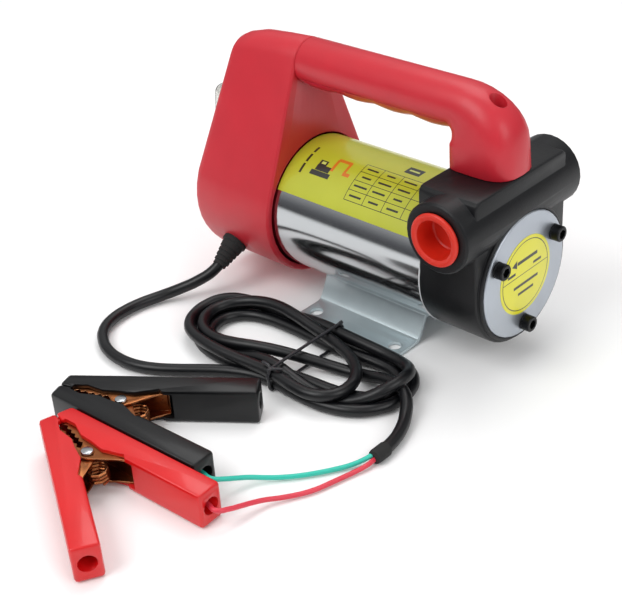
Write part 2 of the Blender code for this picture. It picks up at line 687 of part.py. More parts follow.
def armature(spin):
    """What turns: the shaft, the slotted core, its winding and the commutator."""
    shaft_back = TUBE_BACK_X - GAP - 2 * MM
    turn = Matrix.Rotation(math.pi / 2, 4, "Y")
    add_object("motor_shaft", turned([
        (shaft_back, 0), (shaft_back, SHAFT_RADIUS), (CHAMBER_BACK_X + CHAMBER_DEPTH - GAP,
                                                      SHAFT_RADIUS),
        (CHAMBER_BACK_X + CHAMBER_DEPTH - GAP, 0),
    ], 16), steel(), turn, spin)
    half = CORE_LENGTH / 2
    bore = SHAFT_RADIUS + GAP
    outline, pitch = [], 2 * math.pi / CORE_SLOTS
    slot_angle = math.asin(SLOT_WIDTH / 2 / CORE_RADIUS)
    floor = CORE_RADIUS - SLOT_DEPTH
    floor_angle = math.asin(SLOT_WIDTH / 2 / floor)
    for index in range(CORE_SLOTS):
        middle = index * pitch
        for radius, angle in (
            (floor, middle - floor_angle), (floor, middle + floor_angle),
            (CORE_RADIUS, middle + slot_angle), (CORE_RADIUS, middle + pitch / 2),
            (CORE_RADIUS, middle + pitch - slot_angle),
        ):
            outline.append((radius * math.cos(angle), radius * math.sin(angle)))
    core = add_object("armature_core", side_prism(outline, MOTOR_MID_X - half, MOTOR_MID_X + half),
                      material("lamination_steel", (0.25, 0.25, 0.26), 0.5, 0.8),
                      None, spin, smooth=False)
    boolean(core, turned([
        (MOTOR_MID_X - half - 1 * MM, 0), (MOTOR_MID_X - half - 1 * MM, bore),
        (MOTOR_MID_X + half + 1 * MM, bore), (MOTOR_MID_X + half + 1 * MM, 0),
    ], 16), place=turn, parent=spin)
    outer = CORE_RADIUS - 2.5 * MM
    end = half + GAP
    winding = add_object("armature_winding", turned([
        (MOTOR_MID_X + end, bore + 2 * MM), (MOTOR_MID_X + end, outer),
        (MOTOR_MID_X + end + WINDING_OVERHANG - 2 * MM, outer),
        (MOTOR_MID_X + end + WINDING_OVERHANG, outer - 3 * MM),
        (MOTOR_MID_X + end + WINDING_OVERHANG, bore + 2 * MM),
    ], 24), copper(), turn, spin)
    boolean(winding, turned([
        (MOTOR_MID_X - end, bore + 2 * MM), (MOTOR_MID_X - end, outer),
        (MOTOR_MID_X - end - WINDING_OVERHANG + 2 * MM, outer),
        (MOTOR_MID_X - end - WINDING_OVERHANG, outer - 3 * MM),
        (MOTOR_MID_X - end - WINDING_OVERHANG, bore + 2 * MM),
    ][::-1], 24), "UNION", turn, spin)
    bar = SLOT_WIDTH / 2 - GAP
    for index in range(CORE_SLOTS):
        strand = box((MOTOR_MID_X - end - 1 * MM, floor + 1 * MM, -bar),
                     (MOTOR_MID_X + end + 1 * MM, outer - 0.5 * MM, bar))
        boolean(winding, strand, "UNION", Matrix.Rotation(index * pitch, 4, "X"), spin)
    commutator_back = TUBE_BACK_X + 5 * MM + 3.2 * MM
    add_object("commutator", turned([
        (commutator_back, bore), (commutator_back, COMMUTATOR_RADIUS),
        (commutator_back + COMMUTATOR_LENGTH, COMMUTATOR_RADIUS),
        (commutator_back + COMMUTATOR_LENGTH, COMMUTATOR_RADIUS + 2 * MM),
        (commutator_back + COMMUTATOR_LENGTH + 2 * MM, COMMUTATOR_RADIUS + 2 * MM),
        (commutator_back + COMMUTATOR_LENGTH + 2 * MM, bore),
    ], 20), copper(), turn, spin)


# ---- bracket, housing and handle ----------------------------------------------------------


def foot_bracket():
    """One folded sheet: a saddle under the tube, two webs and two feet with holes."""
    radius = TUBE_RADIUS + GAP
    saddle_angle = math.degrees(math.asin(SADDLE_HALF_WIDTH / radius))
    saddle = arc((0, AXIS_HEIGHT), radius, 270, 270 + saddle_angle, 6)
    under = arc((0, AXIS_HEIGHT), radius + SHEET, 270 + saddle_angle - 4, 270, 5)
    edge_y, edge_z = saddle[-1]
    ridge = [(edge_y + 1.6 * MM, edge_z + 0.6 * MM), (edge_y + 2.6 * MM, edge_z - 0.6 * MM)]
    fold = FOLD_HALF_WIDTH
    bend = 3.0 * MM
    web_y = edge_y + 3.0 * MM
    outer = [
        *saddle, *ridge, (web_y, edge_z - 2.6 * MM), (fold - 0.8 * MM, SHEET + bend),
        (fold + 0.6 * MM, SHEET + 0.9 * MM), (fold + bend, SHEET),
        (BRACKET_HALF_WIDTH, SHEET), (BRACKET_HALF_WIDTH, 0), (fold + bend - 0.6 * MM, 0),
        (fold - 0.6 * MM, 0.5 * MM), (fold - 0.8 * MM - SHEET, bend + 0.6 * MM),
        (web_y - SHEET, edge_z - 3.4 * MM), *under,
    ]
    outline = outer + [(-y, z) for y, z in reversed(outer[1:-1])]
    low = ROUND_X - BRACKET_LENGTH
    bracket = add_object("foot_bracket", side_prism(outline, low, ROUND_X), zinc())
    for side in (-1, 1):
        for x in (low + FOOT_HOLE_INSET, ROUND_X - FOOT_HOLE_INSET):
            y = side * (BRACKET_HALF_WIDTH + FOLD_HALF_WIDTH + bend) / 2
            boolean(bracket, turned([
                (-1 * MM, 0), (-1 * MM, FOOT_HOLE_RADIUS), (SHEET + 1 * MM, FOOT_HOLE_RADIUS),
                (SHEET + 1 * MM, 0),
            ], 14), place=along((0, 0, 1), (x, y, 0)))


def top_share():
    """How many of a housing ring's points are on the handle's small circle."""
    lean = math.asin((HOUSING_RADIUS - HANDLE_RADIUS) / HANDLE_HEIGHT)
    return 2 * round(HOUSING_SIDES * (0.25 - lean / (2 * math.pi)))


def teardrop(x, inset=0.0, drop=0.0):
    """The housing's outline at x: a big circle round the motor and the handle's small one."""
    big, small = HOUSING_RADIUS - inset, HANDLE_RADIUS - inset
    rise = HANDLE_HEIGHT - drop
    lean = math.asin((big - small) / rise)
    top_count = top_share()
    low_count = HOUSING_SIDES - top_count
    ring = []
    for index in range(top_count):
        angle = lean + (math.pi - 2 * lean) * index / (top_count - 1)
        ring.append((x, small * math.cos(angle), AXIS_HEIGHT + rise + small * math.sin(angle)))
    for index in range(low_count):
        angle = math.pi - lean + (math.pi + 2 * lean) * index / (low_count - 1)
        ring.append((x, big * math.cos(angle), AXIS_HEIGHT + big * math.sin(angle)))
    return ring


def motor_hole(x):
    """A circle just clear of the tube, with as many points as the housing's outline."""
    radius = TUBE_RADIUS + TUBE_CLEARANCE
    lean = math.asin((HOUSING_RADIUS - HANDLE_RADIUS) / HANDLE_HEIGHT)
    top_count = top_share()
    low_count = HOUSING_SIDES - top_count
    angles = [lean + (math.pi - 2 * lean) * (i + 0.5) / top_count for i in range(top_count)]
    angles += [math.pi - lean + (math.pi + 2 * lean) * i / (low_count - 1)
               for i in range(low_count)]
    return [(x, radius * math.cos(a), AXIS_HEIGHT + radius * math.sin(a)) for a in angles]


def back_at(z):
    """X of the housing's back at height z over the motor's axis, where it leans forward."""
    drop = TOP_DROP + BACK_DROP * BACK_ROUNDING
    start = teardrop(BACK_X, BACK_ROUNDING, drop)[-1][2] - AXIS_HEIGHT
    return BACK_X + BACK_SLOPE * max(0.0, z - start)


def lean_forward(ring):
    """Move a ring's points forward from where its straight sides start, up its slope."""
    start = ring[-1][2]
    return [(x + BACK_SLOPE * max(0.0, z - start), y, z) for x, y, z in ring]


def housing_screw_places():
    """Y and Z of the two housing screws, from the motor's axis."""
    return [(side * 25 * MM, -17 * MM) for side in (-1, 1)]


def rear_housing():
    """The moulded teardrop shell over the motor's back end and the switch."""
    wall = HOUSING_WALL
    rings = [motor_hole(LIP_X), teardrop(LIP_X, 1.2 * MM), teardrop(LIP_X - 1.2 * MM),
             teardrop(LIP_X - 0.3 * HOUSING_DEPTH, 0.0, 0.2 * TOP_DROP),
             teardrop(LIP_X - 0.55 * HOUSING_DEPTH, 0.0, 0.45 * TOP_DROP)]
    flat = BACK_X + BACK_ROUNDING
    rings.append(lean_forward(teardrop(flat, 0.0, TOP_DROP)))
    for step in range(1, BACK_STEPS + 1):
        angle = math.pi / 2 * step / BACK_STEPS
        inset = BACK_ROUNDING * (1 - math.cos(angle))
        x = flat - BACK_ROUNDING * math.sin(angle)
        rings.append(lean_forward(teardrop(x, inset, TOP_DROP + inset * BACK_DROP)))
    outer_count = len(rings)
    inner_rounding = BACK_ROUNDING - wall
    for step in range(2, -1, -1):
        angle = math.pi / 2 * step / 2
        inset = wall + inner_rounding * (1 - math.cos(angle))
        x = flat - inner_rounding * math.sin(angle)
        rings.append(lean_forward(teardrop(x, inset, TOP_DROP + (inset - wall) * BACK_DROP)))
    rings.append(teardrop(LIP_X - 0.5 * HOUSING_DEPTH, wall, 0.5 * TOP_DROP))
    rings.append(teardrop(LIP_X - wall, wall))
    rings.append(motor_hole(LIP_X - wall))
    bm = bmesh.new()
    made = [[bm.verts.new(point) for point in ring] for ring in rings]
    pairs = list(zip(made, made[1:] + made[:1]))
    del pairs[outer_count - 1]
    for ring, after in pairs:
        for i in range(HOUSING_SIDES):
            j = (i + 1) % HOUSING_SIDES
            bm.faces.new((ring[i], ring[j], after[j], after[i]))
    # Each end is a round lower face and a leaning upper one, which meet on a crease.
    split = top_share()
    for ring in made[outer_count - 1:outer_count + 1]:
        bm.faces.new(ring[split:])
        bm.faces.new([*ring[:split + 1], ring[-1]])
    housing = add_object("rear_housing", bm, red_plastic())
    spigot_hole = SPIGOT_RADIUS + SPIGOT_RAISE + 2 * GAP
    boolean(housing, turned([
        (LIP_X - wall - 2 * MM, 0), (LIP_X - wall - 2 * MM, spigot_hole),
        (LIP_X + 2 * MM, spigot_hole), (LIP_X + 2 * MM, 0),
    ], 20), place=along((1, 0, 0), axis_point(0, 0, HANDLE_HEIGHT)))
    for y, z in housing_screw_places():
        boolean(housing, turned([
            (BACK_X - 2 * MM, 0), (BACK_X - 2 * MM, 2.2 * MM),
            (BACK_X + wall + 1 * MM, 2.2 * MM), (BACK_X + wall + 1 * MM, 0),
        ], 10), place=along((1, 0, 0), axis_point(0, y, z)))
    for index, (y, z) in enumerate(housing_screw_places(), 1):
        add_object(f"housing_screw_{index}", turned([
            (BACK_X - GAP - 2.4 * MM, 0), (BACK_X - GAP - 2.4 * MM, 2.4 * MM),
            (BACK_X - GAP - 1.4 * MM, 3.7 * MM), (BACK_X - GAP, 3.9 * MM),
            (BACK_X - GAP, 1.5 * MM), (BACK_X + 14 * MM, 1.5 * MM), (BACK_X + 14 * MM, 0),
        ], 12), steel(), along((1, 0, 0), axis_point(0, y, z)))
    return housing


def handle_ring(inner, outer, half_width, power, inner_power=None):
    """A ring between an inner and an outer point of the side view, squarer at higher power."""
    inner, outer = Vector(inner), Vector(outer)
    centre, up = (inner + outer) / 2, (outer - inner) / 2
    ring = []
    for index in range(HANDLE_SIDES):
        angle = 2 * math.pi * index / HANDLE_SIDES
        c, s = math.cos(angle), math.sin(angle)
        exponent = 2 / (power if c > 0 else inner_power or power)
        across = math.copysign(abs(s) ** exponent, s) * half_width
        ahead = math.copysign(abs(c) ** exponent, c)
        place = centre + up * ahead
        ring.append((place.x, across, AXIS_HEIGHT + place.y))
    return ring


HANDLE_SCREW_X = HEAD_BACK_X + 20.5 * MM


def grip_end():
    """X where the straight grip turns down into the front leg."""
    return HEAD_BACK_X - 2.0 * MM


def handle():
    """The handle's shell with its front leg, the finger insert under it and its screw."""
    top, low = HANDLE_HEIGHT + HANDLE_RADIUS, HANDLE_HEIGHT - HANDLE_RADIUS
    start, end = LIP_X + GAP, grip_end()
    foot = HEAD_TOP + GAP
    rings = [handle_ring((start, low), (start, top), HANDLE_RADIUS, 2.0)]
    rings.append(handle_ring((end, low), (end, top), HANDLE_RADIUS, 2.0))
    turns = 8
    for step in range(1, turns + 1):
        angle = math.radians(90 * (1 - step / turns))
        outer = (end + FOOT_LENGTH * math.cos(angle), low + (top - low) * math.sin(angle))
        share = step / turns
        half = HANDLE_RADIUS + (FOOT_HALF_WIDTH - HANDLE_RADIUS) * share
        rings.append(handle_ring((end + 0.02 * MM * step, low - 0.4 * MM * step), outer, half,
                                 2.0 + 0.7 * share, 2.0 + 3.0 * share))
    rings.append(handle_ring((end + 0.6 * MM, foot), (end + FOOT_LENGTH + 1 * MM, foot),
                             FOOT_HALF_WIDTH, 2.8, 5.5))
    shell = add_object("handle_shell", loft(rings), red_plastic())
    split = HANDLE_HEIGHT - HANDLE_SPLIT
    boolean(shell, box(
        (start - 1 * MM, -HANDLE_RADIUS * 2, AXIS_HEIGHT + low - 10 * MM),
        (end - 0.6 * MM, HANDLE_RADIUS * 2, AXIS_HEIGHT + split),
    ))
    boolean(shell, turned([
        (LIP_X - 12 * MM, 0), (LIP_X - 12 * MM, SPIGOT_RADIUS),
        (LIP_X + 6 * MM, SPIGOT_RADIUS), (LIP_X + 6 * MM, 0),
    ], 18), "UNION", along((1, 0, 0), axis_point(0, 0, HANDLE_HEIGHT + SPIGOT_RAISE)))
    bore_floor = HEAD_TOP + 9 * MM
    boolean(shell, turned([
        (HEAD_TOP - 1 * MM, 0), (HEAD_TOP - 1 * MM, HANDLE_SCREW_RADIUS + GAP),
        (bore_floor, HANDLE_SCREW_RADIUS + GAP), (bore_floor, HANDLE_BORE_RADIUS),
        (top + 5 * MM, HANDLE_BORE_RADIUS), (top + 5 * MM, 0),
    ], 18), place=along((0, 0, 1), axis_point(HANDLE_SCREW_X)))
    add_object("handle_screw", turned([
        (HEAD_TOP - 11 * MM, 0), (HEAD_TOP - 11 * MM, HANDLE_SCREW_RADIUS),
        (bore_floor + GAP, HANDLE_SCREW_RADIUS), (bore_floor + GAP, HANDLE_BORE_RADIUS - 0.6 * MM),
        (bore_floor + 3 * MM, HANDLE_BORE_RADIUS - 0.6 * MM),
        (bore_floor + 3.8 * MM, HANDLE_BORE_RADIUS - 1.6 * MM), (bore_floor + 3.8 * MM, 0),
    ], 12), steel(), along((0, 0, 1), axis_point(HANDLE_SCREW_X)))
    finger_insert(start + GAP, end - 0.6 * MM - GAP, split - GAP)


def finger_insert(start, end, split):
    """The lower half of the grip, with one bulge between each pair of fingers."""
    rings = []
    stations = GRIP_WAVES * 4
    half_count = HANDLE_SIDES // 2
    edge = math.asin((HANDLE_HEIGHT - split) / HANDLE_RADIUS)
    for station in range(stations + 1):
        share = station / stations
        x = start + (end - start) * share
        bulge = GRIP_WAVE * abs(math.sin(math.pi * GRIP_WAVES * share))
        ring = []
        for index in range(half_count + 1):
            angle = math.pi + edge + (math.pi - 2 * edge) * index / half_count
            depth = HANDLE_RADIUS - GRIP_WAVE + bulge * abs(math.sin(angle)) ** 2
            depth += GRIP_WAVE * (1 - abs(math.sin(angle)) ** 2)
            ring.append((x, depth * math.cos(angle),
                         AXIS_HEIGHT + min(split, HANDLE_HEIGHT + depth * math.sin(angle))))
        rings.append(ring)
    add_object("handle_insert", loft(rings), red_plastic())


# ---- switch -------------------------------------------------------------------------------


def switch():
    """The rocker switch on the sloping back, with a clear boot over it."""
    lean = math.atan(BACK_SLOPE)
    seat = bpy.data.objects.new("switch_seat", None)
    bpy.context.scene.collection.objects.link(seat)
    # Local X points out of the back and local Z up its slope.
    seat.matrix_world = (Matrix.Translation(axis_point(back_at(SWITCH_HEIGHT), 0, SWITCH_HEIGHT))
                         @ Matrix.Rotation(math.pi, 4, "Z") @ Matrix.Rotation(-lean, 4, "Y"))
    length, width = BEZEL_HALF_LENGTH, BEZEL_HALF_WIDTH
    body_length, body_width = length - 2 * MM, width - 1.5 * MM
    outline = rounded_outline(width, length, BEZEL_CORNER)
    body = add_object("switch_body", side_prism(outline, GAP, BEZEL_PROUD), black_plastic(),
                      Matrix.Identity(4), seat)
    boolean(body, box(
        (-16 * MM, -body_width, -body_length), (1 * MM, body_width, body_length)
    ), "UNION", Matrix.Identity(4), seat)
    window = ROCKER_RADIUS + GAP
    boolean(body, box(
        (-13 * MM, -ROCKER_HALF_WIDTH - GAP, -window),
        (BEZEL_PROUD + 1 * MM, ROCKER_HALF_WIDTH + GAP, window),
    ), place=Matrix.Identity(4), parent=seat)
    housing = bpy.data.objects["rear_housing"]
    boolean(housing, box(
        (-HOUSING_WALL - 3 * MM, -body_width - GAP, -body_length - GAP),
        (4 * MM, body_width + GAP, body_length + GAP),
    ), place=Matrix.Identity(4), parent=seat)
    pivot = bpy.data.objects.new("rocker_pivot", None)
    bpy.context.scene.collection.objects.link(pivot)
    pivot.parent = seat
    pivot.matrix_local = Matrix.Translation((-2 * MM, 0, 0)) @ Matrix.Rotation(
        ROCKER_TILT, 4, "Y")
    outline = arc((0, 0), ROCKER_RADIUS, -25, 35, 6)
    outline += [(0, 4.4 * MM)]
    outline += arc((0, 0), ROCKER_RADIUS, 145, 205, 6)
    rocker = prism(outline, -ROCKER_HALF_WIDTH, ROCKER_HALF_WIDTH)
    # The outline's first axis runs up the slope and its second out of the back.
    upright = Matrix(((0, 1, 0, 0), (0, 0, 1, 0), (1, 0, 0, 0), (0, 0, 0, 1)))
    add_object("switch_rocker", moved(rocker, upright), red_plastic(), None, pivot)
    outer = boot_rings(width + GAP + BOOT_WALL, length + GAP + BOOT_WALL,
                       BEZEL_CORNER + GAP + BOOT_WALL, BOOT_PROUD)
    inner = boot_rings(width + GAP, length + GAP, BEZEL_CORNER + GAP, BOOT_PROUD - BOOT_WALL)
    bm = bmesh.new()
    made = [[bm.verts.new(point) for point in ring] for ring in outer + inner[::-1]]
    pairs = list(zip(made, made[1:] + made[:1]))
    del pairs[len(outer) - 1]
    for ring, after in pairs:
        for i in range(len(ring)):
            j = (i + 1) % len(ring)
            bm.faces.new((ring[i], ring[j], after[j], after[i]))
    bm.faces.new(made[len(outer) - 1])
    bm.faces.new(made[len(outer)])
    add_object("switch_boot", bm, material("clear_pvc", (0.9, 0.9, 0.9), 0.1, 0.0, 0.3),
               Matrix.Identity(4), seat)


def rounded_outline(half_width, half_length, corner):
    """A rectangle with round corners."""
    w, h = half_width - corner, half_length - corner
    outline = []
    for index, (x, y) in enumerate(((w, h), (-w, h), (-w, -h), (w, -h))):
        outline += arc((x, y), corner, 90 * index, 90 * index + 90, 3)
    return outline


def boot_rings(half_width, half_length, corner, height):
    """Rings of a rounded box that stands on the housing and closes at its top."""
    rings = []
    for x, inset in ((GAP, 0.0), (height - 0.8 * corner, 0.0), (height - 0.25 * corner,
                     0.25 * corner), (height, 0.8 * corner)):
        outline = rounded_outline(half_width - inset, half_length - inset, corner - inset)
        rings.append([(x, y, z) for y, z in outline])
    return rings


# ---- cable --------------------------------------------------------------------------------


def grommet_direction():
    """The way the cable leaves the housing."""
    return Vector((0, -math.cos(GROMMET_ANGLE), -math.sin(GROMMET_ANGLE)))


def grommet():
    """The rubber strain relief in the housing's lower near side."""
    x = LIP_X - GROMMET_BACK
    seat = axis_point(x) + grommet_direction() * HOUSING_RADIUS
    place = along(grommet_direction(), seat)
    neck, flange = CABLE_DIAMETER / 2 + 1.6 * MM, CABLE_DIAMETER / 2 + 5 * MM
    housing = bpy.data.objects["rear_housing"]
    boolean(housing, turned([
        (-HOUSING_WALL - 4 * MM, 0), (-HOUSING_WALL - 4 * MM, neck + GAP),
        (6 * MM, neck + GAP), (6 * MM, 0),
    ], 16), place=place)
    add_object("cable_grommet", turned([
        (-HOUSING_WALL - 3 * MM, 0), (-HOUSING_WALL - 3 * MM, neck), (0.5 * MM, neck),
        (0.5 * MM, flange), (3.4 * MM, flange - 0.5 * MM), (5 * MM, flange - 2.2 * MM),
        (GROMMET_LENGTH - 1 * MM, CABLE_DIAMETER / 2 + 1.6 * MM),
        (GROMMET_LENGTH, CABLE_DIAMETER / 2 + 1 * MM), (GROMMET_LENGTH, 0),
    ], 20), rubber(), place)
    return seat + grommet_direction() * (GROMMET_LENGTH + GAP)


LEAD_ROUTE = [
    (-78.2, -56.0, 16.6), (-83.7, -63.0, 11.6), (-90.7, -70.5, 7.4), (-97.0, -79.0, 4.6),
    (-101.6, -89.5, 3.6), (-103.8, -101.0, 3.5), (-103.5, -113.0, 3.5), (-99.7, -124.5, 3.5),
    (-90.7, -134.0, 3.5), (-78.2, -140.2, 3.5), (-64.7, -141.8, 3.5), (-51.2, -139.3, 3.5),
    (-39.2, -133.3, 3.5), (-27.7, -125.5, 3.8), (-17.2, -117.6, 5.0), (-10.7, -111.8, 6.2),
]
HANK_ENTRY = (-7.7, -107.6, 6.5)
HANK_EXIT_ANGLE = 0.0
TAIL_ROUTE = [
    (92.8, -80.6, 7.0), (97.6, -87.6, 5.0), (101.0, -97.0, 3.7), (103.0, -107.5, 3.5),
    (103.4, -117.0, 3.5),
]
TAIL_END = (103.4, -120.0, 3.5)
WIRE_SPACING = 1.7
WIRE_INSIDE = 9.0 * MM
RED_ROUTE = [
    (103.4, -127.0, 2.2), (101.2, -134.0, 1.5), (98.4, -144.6, 1.5), (94.8, -156.5, 1.5),
    (88.7, -167.8, 1.9), (82.6, -179.5, 4.0), (78.4, -190.5, 7.2),
]
GREEN_ROUTE = [
    (98.8, -127.0, 2.2), (94.8, -133.5, 1.5), (89.2, -142.6, 1.5), (81.9, -152.3, 1.5),
    (73.6, -161.4, 1.9), (66.0, -170.4, 4.0),
]


def in_mm(route):
    """Route points in millimetres as vectors in metres."""
    return [Vector(point) * MM for point in route]


def cables(lead_start):
    """The cable's free stretches, the tied hank between them and the two wires."""
    jacket = material("black_pvc_jacket", (0.02, 0.02, 0.022), 0.4)
    stub = 3 * MM
    spacing = 1.3 * CABLE_DIAMETER
    front = Vector((0, HANK_CENTRE.y - HANK_WIDTH / 2 - GAP, 0))
    entry = Vector(HANK_ENTRY) * MM
    lead = smooth_path([lead_start + grommet_direction() * stub, *in_mm(LEAD_ROUTE), entry],
                       spacing)
    tube("cable_lead", [lead_start, *lead, Vector((entry.x, front.y, entry.z))],
         CABLE_DIAMETER, jacket)
    radius = HANK_WIDTH / 2
    reach = HANK_LENGTH / 2 - radius
    outline = arc((reach, 0), radius, -90, 90, 16) + arc((-reach, 0), radius, 90, 270, 16)
    hank = add_object("cable_hank", prism(outline, 0, HANK_HEIGHT), jacket,
                      Matrix.Translation(HANK_CENTRE))
    rounded(hank, 3.0 * MM, 2)
    inner_side, inner_top = radius + GAP, HANK_HEIGHT + GAP
    outer_side, outer_top = inner_side + TIE_THICKNESS, inner_top + TIE_THICKNESS
    band = [(-outer_side, GAP), (-inner_side, GAP), (-inner_side, inner_top),
            (inner_side, inner_top), (inner_side, GAP), (outer_side, GAP),
            (outer_side, outer_top), (-outer_side, outer_top)]
    add_object("cable_tie", side_prism(band, -TIE_WIDTH / 2, TIE_WIDTH / 2), black_plastic(),
               Matrix.Translation(HANK_CENTRE + Vector((TIE_OFFSET, 0, 0))), smooth=False)
    outwards = Vector((math.cos(HANK_EXIT_ANGLE), math.sin(HANK_EXIT_ANGLE), 0))
    leave = HANK_CENTRE + Vector((reach, 0, HANK_HEIGHT / 2)) + outwards * (radius + GAP)
    tail_end = Vector(TAIL_END) * MM
    tail = smooth_path([leave + outwards * stub, *in_mm(TAIL_ROUTE)], spacing)
    tube("cable_tail", [leave, *tail, tail_end], CABLE_DIAMETER, jacket)
    wires = (
        ("red_wire", 1, RED_ROUTE, RED_CLIP, (0.75, 0.06, 0.08)),
        ("green_wire", -1, GREEN_ROUTE, BLACK_CLIP, (0.05, 0.6, 0.5)),
    )
    for name, side, route, clip, colour in wires:
        start = tail_end + Vector((side * WIRE_SPACING * MM, -GAP, 0))
        hole, outwards = wire_hole(*clip)
        path = smooth_path([start - Vector((0, stub, 0)), *in_mm(route),
                            hole + outwards * 2 * stub, hole - outwards * WIRE_INSIDE],
                           2.2 * WIRE_DIAMETER)
        tube(name, [start, *path], WIRE_DIAMETER, material(f"{name}_pvc", colour, 0.4))


def clip_place(at, angle):
    """Where a clip lies: its rivet upright at half its height."""
    return (Matrix.Translation(Vector((*at, 0)) * MM + Vector((0, 0, CLIP_HEIGHT / 2)))
            @ Matrix.Rotation(math.radians(angle), 4, "Z"))


def handle_end(side):
    """The middle of a clip handle's end and the way that it points, in the clip's frame."""
    tip, far_outer, far_inner, _ = clip_outline()
    middle = (far_outer + far_inner) / 2
    direction = (far_outer - tip).normalized()
    return Vector((middle.x, middle.y * side, 0)), Vector((direction.x, direction.y * side, 0))


def wire_hole(side, at, angle):
    """The middle of the hole that a clip's wire goes in by, and the way out of it."""
    place = clip_place(at, angle)
    middle, direction = handle_end(side)
    return place @ middle, (place.to_3x3() @ direction).normalized()


# ---- battery clips ------------------------------------------------------------------------


def clip_outline(wall=0.0):
    """One clip half from above, on the +Y side of the jaws' meeting line."""
    direction = Vector((math.cos(CLIP_ANGLE), math.sin(CLIP_ANGLE)))
    across = Vector((-direction.y, direction.x))
    tip = Vector((-CLIP_JAW + wall, CLIP_TIP_WIDTH - wall))
    reach = (CLIP_HANDLE + CLIP_JAW) / direction.x
    far_outer = tip + direction * (reach - 2 * wall)
    far_inner = far_outer - across * (CLIP_WIDTH - 2 * wall)
    elbow = 13.0 * MM
    back = (far_inner.x - elbow) / direction.x
    near_inner = far_inner - direction * back
    return tip, far_outer, far_inner, near_inner


def clip_half(name, side, finish, place, parent=None):
    """An insulated half: an open-fronted shell round its copper jaw."""
    tip, far_outer, far_inner, near_inner = clip_outline()
    line = GAP / 2
    outline = [(-CLIP_JAW, line), tuple(tip), tuple(far_outer), tuple(far_inner),
               tuple(near_inner), (6.0 * MM, line)]
    outline = [(x, y * side) for x, y in outline]
    if side < 0:
        outline.reverse()
    half = CLIP_HEIGHT / 2
    shell = add_object(f"{name}_shell", prism(outline, -half, half), finish, place, parent)
    rounded(shell, 1.6 * MM, 2, 30)
    # The pocket that the jaw's channel sits in, open towards the other half.
    inside = half - CLIP_WALL
    pocket = [(-CLIP_JAW + 2.6 * MM, -2 * MM), (-CLIP_JAW + 2.6 * MM, 5.4 * MM),
              (-8 * MM, 11.0 * MM), (22 * MM, 19.5 * MM), (24 * MM, 8 * MM), (12 * MM, -2 * MM)]
    pocket = [(x, y * side) for x, y in pocket]
    boolean(shell, prism(pocket, -inside, inside), place=place, parent=parent)
    # The open window above and below the pivot, where the jaw, rivet and spring show.
    window = [(-CLIP_JAW + 6 * MM, -2 * MM), (-CLIP_JAW + 8 * MM, 2.2 * MM),
              (-CLIP_JAW + 15 * MM, 4.2 * MM), (-12 * MM, 2.6 * MM), (-4 * MM, 4.4 * MM),
              (5 * MM, 5.6 * MM), (16 * MM, 12.5 * MM), (21 * MM, 10 * MM), (24 * MM, -2 * MM)]
    window = [(x, y * side) for x, y in window]
    boolean(shell, prism(window, -half - 2 * MM, half + 2 * MM), place=place, parent=parent)
    middle, direction = handle_end(side)
    depth = (CLIP_HANDLE - 21 * MM) / direction.x
    bore = turned([(-depth, 0), (-depth, CLIP_BORE_RADIUS), (5 * MM, CLIP_BORE_RADIUS),
                   (5 * MM, 0)], 14)
    bore_place = place @ along(direction, middle)
    boolean(shell, bore, place=bore_place, parent=parent)
    jaw_height = inside - GAP - (0.0 if side > 0 else CLIP_SHEET + GAP)
    copper_jaw(name, side, jaw_height, place, parent)
    return shell


def copper_jaw(name, side, height, place, parent):
    """A folded jaw: two flat ears joined by a back web, with teeth along the meeting line."""
    teeth = []
    start, end = -CLIP_JAW + 4 * MM, -7 * MM
    count = 6
    for index in range(count):
        x = start + (end - start) * index / count
        step = (end - start) / count
        teeth += [(x, 0.5 * MM), (x + step / 2, 1.9 * MM)]
    ear = [(start, 3.6 * MM), *teeth, (end, 0.5 * MM)]
    ear += arc((0, 0), 4.6 * MM, 215, 325, 5)
    ear += [(7 * MM, 0.5 * MM), (14 * MM, 9.0 * MM), (20 * MM, 14.5 * MM), (19 * MM, 17.2 * MM),
            (-8 * MM, 10.4 * MM)]
    ear = [(x, y * side) for x, y in ear]
    bm = prism(ear, -height, height)
    jaw = add_object(f"{name}_jaw", bm, copper(), place, parent, smooth=False)
    inside = height - CLIP_SHEET
    hollow = [(-CLIP_JAW, -8 * MM), (-CLIP_JAW, 2.4 * MM), (-8 * MM, 10.4 * MM - CLIP_SHEET),
              (18 * MM, 17.0 * MM - CLIP_SHEET), (30 * MM, 12 * MM), (30 * MM, -8 * MM)]
    hollow = [(x, y * side) for x, y in hollow]
    boolean(jaw, prism(hollow, -inside, inside), place=place, parent=parent)
    boolean(jaw, turned([
        (-height - 1 * MM, 0), (-height - 1 * MM, RIVET_RADIUS + GAP),
        (height + 1 * MM, RIVET_RADIUS + GAP), (height + 1 * MM, 0),
    ], 12), place=place, parent=parent)


